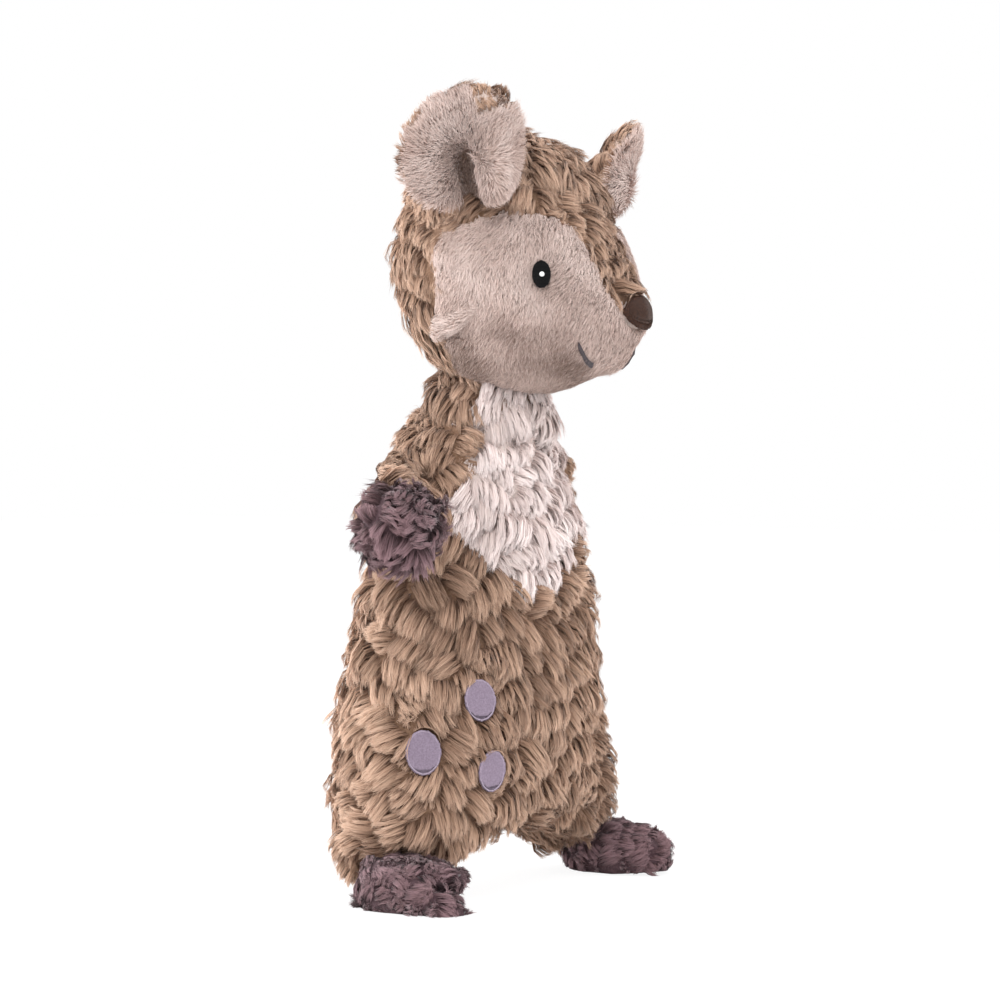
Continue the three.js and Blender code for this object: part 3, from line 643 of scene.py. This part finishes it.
def satin(name, node, body, thread, gap, thick, vertical=False, lift=0.1):
    """Parallel stitches laid over a patch, each a round thread that follows the patch."""
    centre, out, flat, _ = stitch_frame(node)
    right = unit(np.cross(UP, out))
    up = np.cross(out, right)
    if vertical:
        right, up = up, -right
    u, v = flat @ right, flat @ up
    paths = []
    for height in np.arange(v.min() + gap / 2, v.max(), gap):
        hits = []
        for x in np.linspace(u.min(), u.max(), 41):
            start = centre + right * x + up * height + out * 0.02
            hit = node_trees[node].ray_cast(Vector(start), Vector(-out), 0.04)
            if hit[0] is not None and hit[1].dot(Vector(out)) > 0.25:
                hits.append(np.array(hit[0]) + out * lift * MM)
        if len(hits) < 3:
            continue
        line = np.array(hits)[np.linspace(0, len(hits) - 1, 9).round().astype(int)]
        ends = line[[0, -1]] - out * 0.5 * MM
        paths.append(np.concatenate([ends[:1], line, ends[1:]]))
    thread_tubes(name, np.array(paths), thick, thread, body)


def rim(name, node, body, thick):
    """A corded edge round a stitched patch."""
    centre, out, flat, axes = stitch_frame(node)
    u, v = flat @ axes[0], flat @ axes[1]
    loop = []
    for turn in np.linspace(0, 2 * math.pi, 49):
        at = int(np.argmax(u * math.cos(turn) + v * math.sin(turn)))
        edge = centre + flat[at] - unit(flat[at]) * 0.5 * MM
        hit = node_trees[node].ray_cast(Vector(edge + out * 0.02), Vector(-out), 0.04)
        loop.append(edge if hit[0] is None else np.array(hit[0]))
    loop = np.array(loop)
    for _ in range(3):
        inner = (np.roll(loop[:-1], 1, axis=0) + np.roll(loop[:-1], -1, axis=0)) / 2
        loop[:-1] = (loop[:-1] + inner) / 2
        loop[-1] = loop[0]
    thread_tubes(name, loop[None], thick, "lilac_rim", body)


def thread_tubes(name, paths, thick, material, body, sides=6):
    """Round threads along paths (n, k, 3), closed at both ends."""
    n, k = paths.shape[0], paths.shape[1]
    rings = []
    for level in range(k):
        before, after = paths[:, max(level - 1, 0)], paths[:, min(level + 1, k - 1)]
        tangent = unit(after - before)
        e1 = unit(np.cross(tangent, UP + 0.01))
        e2 = np.cross(tangent, e1)
        for side in range(sides):
            angle = 2 * math.pi * side / sides
            rings.append(paths[:, level] + (e1 * math.cos(angle) + e2 * math.sin(angle)) * thick * MM)
    vertices = np.stack(rings, axis=1)
    base = (np.arange(n) * k * sides)[:, None, None]
    quads = np.array([[level * sides + s, level * sides + (s + 1) % sides,
                       (level + 1) * sides + (s + 1) % sides, (level + 1) * sides + s]
                      for level in range(k - 1) for s in range(sides)])
    caps = np.array([list(range(sides))[::-1], [(k - 1) * sides + s for s in range(sides)]])
    faces = [(base + quads[None]).reshape(-1, 4), (base + caps[None]).reshape(-1, sides)]
    piece_from(name, vertices.reshape(-1, 3), faces, materials[material], body)


# Body

body_points, body_triangles, body_skin = skin(
    "body_skin", BODY_PANELS + ["body_filling"], "torso", "fawn", voxel=3.0, rounds=6, inset=2.6)
body_surface = (body_points, body_triangles)


def body_panel(place, normal):
    """0 front, 1 bib, 2 back. The bib ends in a point below, and its left edge is set by height."""
    above = place + normal * 2.0 * MM
    gaps = gaps_to(above, BODY_PANELS)
    gaps[:, 1] -= BIB_LEAD * (above[:, 0] > body_middle)
    key = gaps.argmin(axis=1)
    height = place[:, 2]
    pointed = np.abs(place[:, 0] - body_middle) > (height - BIB_POINT) * BIB_SLOPE
    left_edge = 9.5 * share(height, BIB_EDGE_TOP, 0.013) + 2.5 * (height > BIB_EDGE_STEP) - 4.0
    beside = (place - axis_point) @ SIDEWAYS < left_edge * MM
    key[(key == 1) & (pointed | beside)] = 0
    return key


def body_aim(place):
    """Down, and outwards to both sides of the thigh."""
    aside = place @ SIDEWAYS - axis_point @ SIDEWAYS
    return -UP + SIDEWAYS * (0.75 * np.clip(aside / (38 * MM), -1, 1))[:, None]


repaint(body_skin, body_panel(body_points[body_triangles].mean(axis=1), 0.0),
        ["fawn_cloth", "bib_cloth", "fawn_cloth"])

# The locks are short beside the spots, at the shoulders and at the far side, and paler at the near side, which
# is painted light from the lamps on that side
locks = locks_on(body_surface, 8.0, 11, body_aim, 0.6, 0.36)
height = locks["place"][:, 2]
aside = (locks["place"] - axis_point) @ SIDEWAYS
lock_ends = locks["place"] + locks["direction"] * 6 * MM
locks["size"] *= np.clip(gap_to(lock_ends, SPOTS) / (9 * MM), 0.5, 1)
locks["size"] *= np.where(height > SHOULDER_HEIGHT, 0.75, 1.0)
locks["tone"] += 0.35 * share(-aside, 15 * MM, 15 * MM)
locks["size"] *= 1 + 0.2 * (aside < -24 * MM) * (np.abs(height - 0.09) < 0.035)
locks["size"] *= 1 - 0.35 * (aside > 42 * MM) * (np.abs(height - 0.052) < 0.020)
locks["size"] *= 1 - 0.35 * (aside > 22 * MM) * (height > 0.155)
coat([("fur_front", 0, "fawn"), ("fur_bib", 1, "bib"), ("fur_back", 2, "fawn")], body_surface, locks,
     "torso", body_panel, seed=100, spacing=0.44, wisp=1.45, length=9.6, rise=7.0, settle=5.6, width=0.21,
     keep=away_from_patches({name: -0.4 * MM for name in SPOTS}))


# Head: the seams, the dimples round the eyes and the slimmer jaw are pressed into its skin

head_points, head_triangles, head_skin = skin("head_skin", HEAD_PANELS + ["head_filling"], "head", "cream",
                                              voxel=2.5, rounds=8, inset=1.8)
head_normals = normals_of(head_points, head_triangles)
crown_gap, chin_gap = gap_to(head_points, ["head_crown"]), gap_to(head_points, ["chin_gusset"])
cheek_gap, eye_gap = gap_to(head_points, CHEEKS), gap_to(head_points, EYES)
mouth_near = hump(gap_to(head_points, ["mouth_right", "mouth_left"]), 5 * MM)
from_hub = head_points - HUBS["head"]
ahead, aside, above = from_hub @ head_front, np.abs(from_hub @ head_right), from_hub @ UP

crownness = relax((np.minimum(chin_gap, cheek_gap) - crown_gap)[:, None], head_triangles, 6, outward=0.0)[:, 0]
crownness -= 1.6 * MM * share(-ahead, 0, 15 * MM) * (above < 20 * MM)
crownness -= 2.5 * MM * share(above, -22 * MM, -8 * MM) * (ahead < 5 * MM)
crownness += 3.4 * MM * (ahead > 12 * MM) * (aside < 16 * MM)

fold_line = FOLD_END - FOLD_START
from_start = np.stack([ahead, aside, above], axis=1) - FOLD_START
fold_share = np.clip(from_start @ fold_line / (fold_line @ fold_line), 0, 1)
below_fold = np.linalg.norm(from_start - fold_share[:, None] * fold_line + np.array([0, 0, 4.5]) * MM, axis=1)

lift = -1.2 * hump(np.abs(chin_gap - cheek_gap), 2.6 * MM)
lift -= 2.2 * (1 - fold_share) * hump(below_fold, 3.2 * MM)
lift -= 1.2 * hump(eye_gap, 4.5 * MM)
lift += 1.2 * hump(eye_gap / (11 * MM) - 1.0, 0.5)
lift -= 2.4 * share(above, -28 * MM, -8 * MM) * share(ahead, 8 * MM, 15 * MM) * (1 - mouth_near)
lift += 0.8 * mouth_near
head_points = head_points + head_normals * lift[:, None] * MM
move_to(head_skin, head_points)


def head_panel(places, normals=None):
    """Panel of each place: 0 crown, 1 and 2 cheeks, 3 chin. The stripe ends above the nose."""
    corner = nearest_index(places, head_points)
    local = (places - HUBS["head"]) @ head_front
    muzzle = (local > 0) & (places[:, 2] < nose_centre[2] + 3 * MM)
    crown = (crownness[corner] > 0) & ~muzzle
    cheek = np.where((places - HUBS["head"]) @ head_right < 0, 1, 2)
    return np.where(crown, 0, np.where(chin_gap[corner] < cheek_gap[corner], 3, cheek))


def to_cheek(point):
    """Direction and distance to the nearest cheek panel."""
    hit = min((node_trees[name].find_nearest(Vector(point)) for name in CHEEKS), key=lambda found: found[3])
    return unit(np.array(hit[0]) - point), hit[3]


def crown_aim(place):
    """Down and a little forward; beside a cheek, along the seam."""
    aim = np.tile(head_front * 0.15 - UP, (len(place), 1))
    for i, point in enumerate(place):
        inward, gap = to_cheek(point)
        aim[i] -= inward * max(aim[i] @ inward + 0.3, 0) * np.clip(1 - gap / (15 * MM), 0, 1)
    return aim


repaint(head_skin, head_panel(head_points[head_triangles].mean(axis=1)) > 0, ["fawn_cloth", "cream_cloth"])

# The crown's locks lie along its seams with the cheeks, and a tuft of them points forward over the nose
crown_lift = -0.6 + 2.6 * np.clip(head_normals[:, 2:], 0, 1) ** 2
crown_surface = (head_points + head_normals * crown_lift * MM, head_triangles)
locks = locks_on(crown_surface, 6.9, 12, crown_aim, 0.45, 0.3, 0.03)
ahead = (locks["place"] - HUBS["head"]) @ head_front
aside = (locks["place"] - HUBS["head"]) @ SIDEWAYS
height = locks["place"][:, 2]
locks["tone"] += 0.08 - 0.26 * share(ahead, -25 * MM, 30 * MM)
locks["size"] *= 1 - 0.5 * hump(height - EAR_ROOT_HEIGHT, 0.009) * (aside < -20 * MM)
locks["size"] *= 1 + 0.25 * hump(height - NAPE_HEIGHT, 0.009) * (aside < -8 * MM)
for i, point in enumerate(locks["place"]):
    inward, gap = to_cheek(point)
    close = np.clip(1 - gap / (16 * MM), 0, 1)
    heading = locks["direction"][i]
    locks["direction"][i] = unit(heading - inward * max(heading @ inward + 0.1, 0) * close)
    locks["curl"][i] *= 1 - 0.7 * close
    locks["size"][i] *= 1 - 0.4 * close
    if np.linalg.norm(point - nose_centre) < 13 * MM and point[2] > nose_centre[2] + 5 * MM:
        locks["direction"][i] = unit(head_front + UP * 0.15)
        locks["size"][i] = 1.0

nose_clear = away_from_patches({"nose": 0.2 * MM})


def crown_test(paths):
    """Keeps the crown's strands off the nose, and drops those that end deep over a cheek."""
    paths, good = nose_clear(paths)
    return paths, good & (crownness[nearest_index(paths[:, -1], head_points)] > -2.4 * MM)


coat([("fur_crown", 0, "fawn")], crown_surface, locks, "head", head_panel, seed=120, spacing=0.44,
     wisp=1.4, length=10.0, rise=5.4, settle=4.0, width=0.21, by_lock=False, keep=crown_test)
place, normal = scatter(head_points, head_triangles, 0.36 * MM, 13, crowd=1)
panel = head_panel(place)
level = (place[:, 2] - head_low[2]) / (head_high[2] - head_low[2])
ahead = (place - HUBS["head"]) @ head_front
direction = comb(place, normal, -UP - head_front * 0.45, 23, 0.35, 0.22, 0.03)
# The pile darkens towards the lower jaw: partly painted shade on its underside, partly the lie of the pile
# there.
jaw_shade = share(level, 0.29, -0.10) * share(ahead, 48 * MM, -14 * MM)
face_test = away_from_patches({"eye_right": -1.3 * MM, "eye_left": -1.3 * MM, "nose": -1.2 * MM})
muzzle = share(ahead, 30 * MM, 12 * MM) * share(place[:, 2], nose_centre[2] - 6 * MM, -8 * MM)
for key, name in ((1, "cheek_right"), (2, "cheek_left"), (3, "chin")):
    chosen = panel == key
    tone = np.clip(0.68 + 0.18 * wander(place[chosen], 0.02, 33) - 0.36 * jaw_shade[chosen], 0, 1)
    short_pile("pile_" + name, place[chosen], normal[chosen], direction[chosen], "head", seed=129 + key,
               length=4.0 + 0.8 * muzzle[chosen], lean=0.85, width=0.2, tone=tone, keep=face_test)


def fold(side):
    """The pinched fold at the rear end of a cheek's lower seam: a ridge that runs out towards the eye."""
    steps, corners = 14, []
    tree = tree_of(head_points, head_triangles)
    for along in np.linspace(-0.12, 1, steps):
        local = FOLD_START + (FOLD_END - FOLD_START) * along
        point = HUBS["head"] + head_front * local[0] + head_right * local[1] * side + UP * local[2]
        point, out = np.array(tree.find_nearest(Vector(point))[0]), unit(head_right * side + UP * 0.15)
        high = 4.2 * MM * (1 - max(along, 0)) ** 0.8 * (1 if along > -0.05 else 0.4)
        wide = 4.6 * MM * (1 - 0.5 * max(along, 0))
        profile = [(-MM, 1.0), (high * 0.7, 0.75), (high, 0.1), (high * 0.75, -0.5), (-MM, -0.7)]
        corners += [point + out * rise + UP * wide * level for rise, level in profile]
    rows = np.arange(steps * 5).reshape(steps, 5)
    quads = np.stack([rows[:-1, :-1], rows[:-1, 1:], rows[1:, 1:], rows[1:, :-1]], axis=-1).reshape(-1, 4)
    triangles = np.concatenate([quads[:, [0, 1, 2]], quads[:, [0, 2, 3]]])
    points = np.array(corners)
    middle = normals_of(points, triangles)[rows[:, 2]].mean(axis=0)
    return points, triangles if middle @ head_right * side > 0 else triangles[:, ::-1]


for name, side in (("right", -1), ("left", 1)):
    points, triangles = fold(side)
    piece_from(f"fold_{name}", points, [triangles], materials["cream_cloth"], "head")
    place, normal = scatter(points, triangles, 0.36 * MM, 41, crowd=1)
    direction = comb(place, normal, -head_front - UP * 0.1, 42, 0.2, 0.2)
    # The fold's pile takes a pale tone: painted highlight where the ridge catches the light.
    short_pile(f"pile_fold_{name}", place, normal, direction, "head", seed=43, length=3.2, lean=0.85,
               width=0.24, tone=0.95)


# Neck: a cloth sleeve from the collar into the head

turns = np.linspace(0, 2 * math.pi, NECK_SIDES, endpoint=False)
corner = np.arange(NECK_SIDES)
after = (corner + 1) % NECK_SIDES
rings, triangles = [], []
for level, (height, radius) in enumerate(NECK_RINGS):
    rings.append(np.stack([radius * np.cos(turns), radius * 0.9 * np.sin(turns), 0 * turns + height], axis=1))
    if level > 0:
        a, b = (level - 1) * NECK_SIDES + corner, (level - 1) * NECK_SIDES + after
        triangles.append(np.stack([a, b, b + NECK_SIDES], axis=1))
        triangles.append(np.stack([a, b + NECK_SIDES, a + NECK_SIDES], axis=1))
points, triangles = np.concatenate(rings) * MM + neck, np.concatenate(triangles)


def neck_panel(place, normal):
    """0 brown, 1 bib, 2 bare under the collar."""
    return np.where(place[:, 2] < neck[2] - 6 * MM, 2, unit(place - neck)[:, 1] < -0.45)


neck_skin = piece_from("neck_skin", points, [triangles], materials["fawn_cloth"], "neck")
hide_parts("neck_filling")
locks = locks_on((points, triangles), 7.0, 14, -UP, 0.4, 0.35, reach=2 * MM)
# Painted shade under the head: the locks on this part of the neck are darkened.
locks["tone"] -= 0.35 * (locks["place"][:, 1] > neck[1] - 12 * MM)
coat([("fur_neck", 0, "fawn"), ("fur_neck_bib", 1, "bib")], (points, triangles), locks, "neck", neck_panel,
     seed=140, spacing=0.44, wisp=1.5, length=9.5, rise=3.8, settle=2.8, width=0.21)


# Ears

def make_ear(side, push, wrap, cup_length):
    """An ear with its dish, crease and curled rim. The lower outer edge is pushed towards the head, and the
    wrap says how far the brown pile comes round from the back."""
    cad = [f"ear_{side}_back", f"ear_{side}_cup"]
    body = f"ear_{side}"
    joint = joints[f"ear_{side}_flap"]
    pivot, across = np.array(joint["pos_m"]), unit(np.array(joint["axis"]))
    points, triangles, made = skin(f"ear_{side}_skin", cad, body, "cream", voxel=1.8, rounds=5, inset=2.6)
    back_centre, cup_centre = (np.mean(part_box(name), axis=0) for name in cad)
    middle = (back_centre + cup_centre) / 2
    rising = unit(middle - pivot - across * ((middle - pivot) @ across))
    front = np.cross(rising, across)
    front *= np.sign(front @ (cup_centre - back_centre))
    inner = across * np.sign(across @ (HUBS["head"] - pivot))

    def shares_of(place):
        """How far up the ear a place is, and how far towards the head."""
        return (place - pivot) @ rising / EAR_HEIGHT, (place - pivot) @ inner / EAR_HALF_WIDTH

    v, u = shares_of(points)
    facing = np.clip(normals_of(points, triangles) @ front, 0, 1)
    beside = u - 0.08
    valley = np.where(beside < 0, hump(beside, 0.42), hump(beside, 0.10)) * share(v, 0.66, -0.55) ** 1.4
    bulge = hump(beside - 0.26, 0.19) * share(v, 0.66, -0.25)
    dish = np.exp(-(beside ** 2 + ((v - 0.35) / 0.4) ** 2) / 0.35)
    depth = 13.0 * valley + dish - 6.0 * bulge * facing
    corner = share(u, 0.05, 0.5) * share(v, 0.45, 0.4)
    outer = share(-u, 0.3, 0.5) * share(v, 0.6, -0.3) * push
    points = points + (-front * depth[:, None] + (inner * 3.0 + rising * 3.5) * corner[:, None]) * MM
    points = points + inner * outer[:, None] * MM
    move_to(made, points)
    repaint(made, nearest_node(points[triangles].mean(axis=1), cad), ["fawn_cloth", "cream_cloth"])

    def ear_panel(place, normal):
        """0 brown back, 1 cream cup, 2 bare under the root."""
        v, u = shares_of(place)
        towards_front = normal @ front
        brown = (towards_front < wrap) & ((u > 0) | (towards_front < -0.3))
        brown |= (u < -0.45) & (towards_front < 0.8)
        brim = (towards_front > -0.3) & (v > 0.72) & (u > 0.28)
        return np.where(v < -0.05, 2, np.where(brown | brim, 0, 1))

    ear_middle = pivot + rising * 0.45 * EAR_HEIGHT
    locks = locks_on((points, triangles), 6.0, 15, lambda place: unit(place - ear_middle) + 0.4 * rising,
                     0.4, 0.35, reach=5 * MM)
    coat([(f"fur_ear_{side}_back", 0, "fawn")], (points, triangles), locks, body, ear_panel, seed=150,
         spacing=0.48, wisp=1.5, length=7.5, rise=3.2, settle=2.2, by_lock=False)
    place, normal = scatter(points, triangles, 0.38 * MM, 16, crowd=1)
    cream = ear_panel(place, normal) == 1
    place, normal = place[cream], normal[cream]
    v, u = shares_of(place)
    v, u = v - 0.35, u - 0.12
    aim = rising * v[:, None] * 2.0 + inner * u[:, None] * 1.2
    direction = comb(place, normal, aim, 26, 0.3, 0.22, 0.02)
    # Painted shade: the cup's pile is darkened in the crease and on the hollow beside it, low on the ear.
    inside = np.where(u < 0, hump(u, 0.3), hump(u, 0.07)) * share(v, 0.22, -0.2)
    tone = np.clip(0.74 + 0.2 * wander(place, 0.012, 36) - 0.85 * inside, 0, 1)
    for name, chosen, length in (("cup", inside < 0.35, cup_length), ("dish", inside >= 0.35, 2.4)):
        short_pile(f"pile_ear_{side}_{name}", place[chosen], normal[chosen], direction[chosen], body, seed=160,
                   length=length, lean=0.75, width=0.24, tone=tone[chosen])


make_ear("right", push=-3.5, wrap=-0.3, cup_length=4.6)
make_ear("left", push=4.0, wrap=0.1, cup_length=6.6)


# Arms and feet

def make_arm(side):
    """A sleeve and its paw. The sleeve's locks grow longer away from the shoulder."""
    body, sleeve, paw = f"arm_{side}", f"arm_{side}_sleeve", f"paw_{side}"
    shoulder = np.array(joints[f"arm_{side}_swing"]["pos_m"])
    points, triangles, made = skin(f"arm_{side}_skin", [sleeve, paw, f"arm_{side}_filling"], body, "fawn",
                                   voxel=1.8, rounds=5, inset=3.4)
    along = unit(np.mean(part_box(paw), axis=0) - shoulder)
    repaint(made, nearest_node(points[triangles].mean(axis=1), [sleeve, paw]), ["fawn_cloth", "mauve_cloth"])

    def arm_panel(place, normal):
        """0 sleeve, 1 paw, 2 bare inside the shoulder."""
        key = nearest_node(place + normal * 3.0 * MM, [sleeve, paw])
        return np.where((place - shoulder) @ along < -6 * MM, 2, key)

    surface = (points, triangles)
    arm_locks = locks_on(surface, 6.5, 17, along * 0.2 + SIDEWAYS * 0.9 - UP * 0.4, 0.4, 0.3, reach=2 * MM)
    arm_locks["size"] *= np.clip(0.45 + (arm_locks["place"] - shoulder) @ along / (30 * MM), 0.45, 1)
    coat([(f"fur_arm_{side}", 0, "fawn")], surface, arm_locks, body, arm_panel, seed=170, spacing=0.42,
         wisp=1.5, length=9.5, rise=4.4, settle=2.8)
    paw_locks = locks_on(surface, 5.0, 19, -UP, 2.6, 0.6, 0.03, 2 * MM)
    paw_locks["size"] *= np.where(paw_locks["place"][:, 2] < PAW_HEIGHT, 1.35, 1.0)
    coat([(f"fur_paw_{side}", 1, "mauve")], surface, paw_locks, body, arm_panel, seed=180, spacing=0.40,
         wisp=1.3, length=4.4, rise=4.6, settle=4.6, width=0.21, rough=1.1)


def make_foot(side, painted_light):
    """A cleft foot: two toes drawn forward and apart, with a groove pressed in between them. The pile's tone
    is raised by the given amount, as painted light where the body shades the far foot.
    """
    body = f"foot_{side}"
    cad = [f"foot_{side}_upper", f"foot_{side}_sole", f"foot_{side}_filling"]
    points, triangles, made = skin(f"foot_{side}_skin", cad, body, "mauve", voxel=1.4, rounds=3, inset=2.6,
                                   flat_floor=True)
    ankle = np.array(joints[f"foot_{side}_turn"]["pos_m"])
    tilt = math.copysign(CLEFT_TILT, -ankle[0])
    apart = np.array([math.cos(tilt), 0.0, math.sin(tilt)])
    cleft = (points - ankle * [1, 1, 0]) @ apart - 10.5 * MM * math.sin(abs(tilt))
    toes = share((ankle[1] - points[:, 1]) / (34.5 * MM), 0.42, 0.42)
    points = points - normals_of(points, triangles) * (toes * 11.0 * hump(cleft, 3.4 * MM))[:, None] * MM
    points += (toes * np.clip(cleft / (4 * MM), -1, 1) * 1.8)[:, None] * apart * MM
    points[:, 1] -= toes * (4.0 + 2.5 * np.clip(cleft / (6 * MM), -1, 1)) * MM * (1 - hump(cleft, 3 * MM))
    points[:, 2] = np.maximum(points[:, 2], FLOOR_GAP)
    # No pile in the bottom of the groove: its dark cloth shows there as painted shade, beside the real groove
    # pressed in above.
    grooved = (toes > 0.3) & (np.abs(cleft) < 2.0 * MM)
    move_to(made, points)

    def foot_panel(place, normal):
        """1 pile, 0 bare: the sole and the bottom of the cleft, where the dark cloth shows as painted shade in
        the groove.
        """
        return ((normal[:, 2] > -0.5) & ~grooved[nearest_index(place, points)]).astype(int)

    locks = locks_on((points, triangles), 5.5, 18, np.array([0.0, -1.0, -0.25]), 1.0, 0.45, 0.03, 6 * MM)
    locks["tone"] += painted_light
    coat([(f"fur_foot_{side}", 1, "mauve")], (points, triangles), locks, body, foot_panel, seed=190,
         spacing=0.40, wisp=1.3, length=4.2, rise=2.4, settle=1.7, width=0.21, by_lock=False, rough=0.8)


make_arm("right")
make_arm("left")
# The far (left) foot is paler: painted light against the body's shadow on it.
make_foot("right", painted_light=0.0)
make_foot("left", painted_light=0.4)


# Embroidery on its patches

for name in SPOTS:
    points, triangles = arrays_of(nodes[name])
    centre, out, _, _ = stitch_frame(name)
    points = points - np.outer((points - centre) @ out * SPOT_FLATTENING + SPOT_SINK, out)
    node_trees[name] = tree_of(points, triangles)
    patch = piece_from(f"patch_{name}", points, [triangles], materials["lilac"], "torso")
    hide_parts(name)
    satin(f"stitches_{name}", name, "torso", "lilac", 0.45 * MM, 0.25, vertical=True)
    rim(f"rim_{name}", name, "torso", 0.34)
for part, thread in (("eye", "black"), ("glint", "white"), ("mouth", "grey")):
    for side in ("right", "left"):
        nodes[f"{part}_{side}"].data.materials.clear()
        nodes[f"{part}_{side}"].data.materials.append(materials[thread])
for name in EYES:
    satin(f"stitches_{name}", name, "head", "black", 0.5 * MM, 0.28)
points, triangles = remeshed(["nose"], 0.7 * MM)
points = relax(points, triangles, 14, outward=0.0)
points = relax(points, triangles, 6)
nose_skin = piece_from("nose_skin", points, [triangles], materials["nose"], "head")
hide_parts("nose")
node_trees["nose"] = tree_of(points, triangles)
satin("stitches_nose", "nose", "head", "nose", 0.5 * MM, 0.26, vertical=True, lift=-0.05)


# Floor and light

floor_material, tree, shader = new_material("floor", 0.9, 0.1)
set_inputs(shader, {"Base Color": FLOOR_GREY})
glow = set_inputs(add_node(tree, "Emission"), {"Color": WHITE, "Strength": 1.1})
glow_part = set_inputs(add_node(tree, "Math", operation="MULTIPLY"), {1: 0.8})
both = add_node(tree, "MixShader")
connect(add_node(tree, "LightPath"), "Is Camera Ray", glow_part, 0)
connect(glow_part, "Value", both, "Fac")
connect(shader, "BSDF", both, 1)
connect(glow, "Emission", both, 2)
connect(both, "Shader", tree.nodes["Material Output"], "Surface")

floor_mesh = bpy.data.meshes.new("floor")
floor_mesh.from_pydata([(-4, -4, 0), (4, -4, 0), (4, 4, 0), (-4, 4, 0)], [], [(0, 1, 2, 3)])
floor_mesh.materials.append(floor_material)
floor = new_object("floor", floor_mesh)

world = bpy.data.worlds.new("studio")
bpy.context.scene.world = world
world.use_nodes = True
tree = world.node_tree
rays = add_node(tree, "LightPath")
seen = add_node(tree, "Math", operation="MAXIMUM")
strength = set_inputs(add_node(tree, "MapRange"), {"To Min": 0.75, "To Max": 1.0})
connect(rays, "Is Camera Ray", seen, 0)
connect(rays, "Is Glossy Ray", seen, 1)
connect(seen, "Value", strength, "Value")
connect(strength, "Result", set_inputs(tree.nodes["Background"], {"Color": WHITE}), "Strength")


def lamp(name, place, size, power):
    """A soft square light that points at the middle of the toy."""
    data = bpy.data.lights.new(name, "AREA")
    data.shape = "SQUARE"
    data.size = size
    data.energy = power
    made = new_object(name, data)
    made.location = place
    aim = Vector(LIT_POINT) - Vector(place)
    made.rotation_euler = aim.to_track_quat("-Z", "Y").to_euler()


lamp("key", (-1.1, -0.5, 1.3), 0.9, 13.5)
lamp("fill", (0.9, -1.3, 0.8), 1.2, 17.0)
lamp("back", (-0.8, 1.2, 0.7), 1.0, 28.0)

bpy.context.scene.view_settings.view_transform = "Standard"
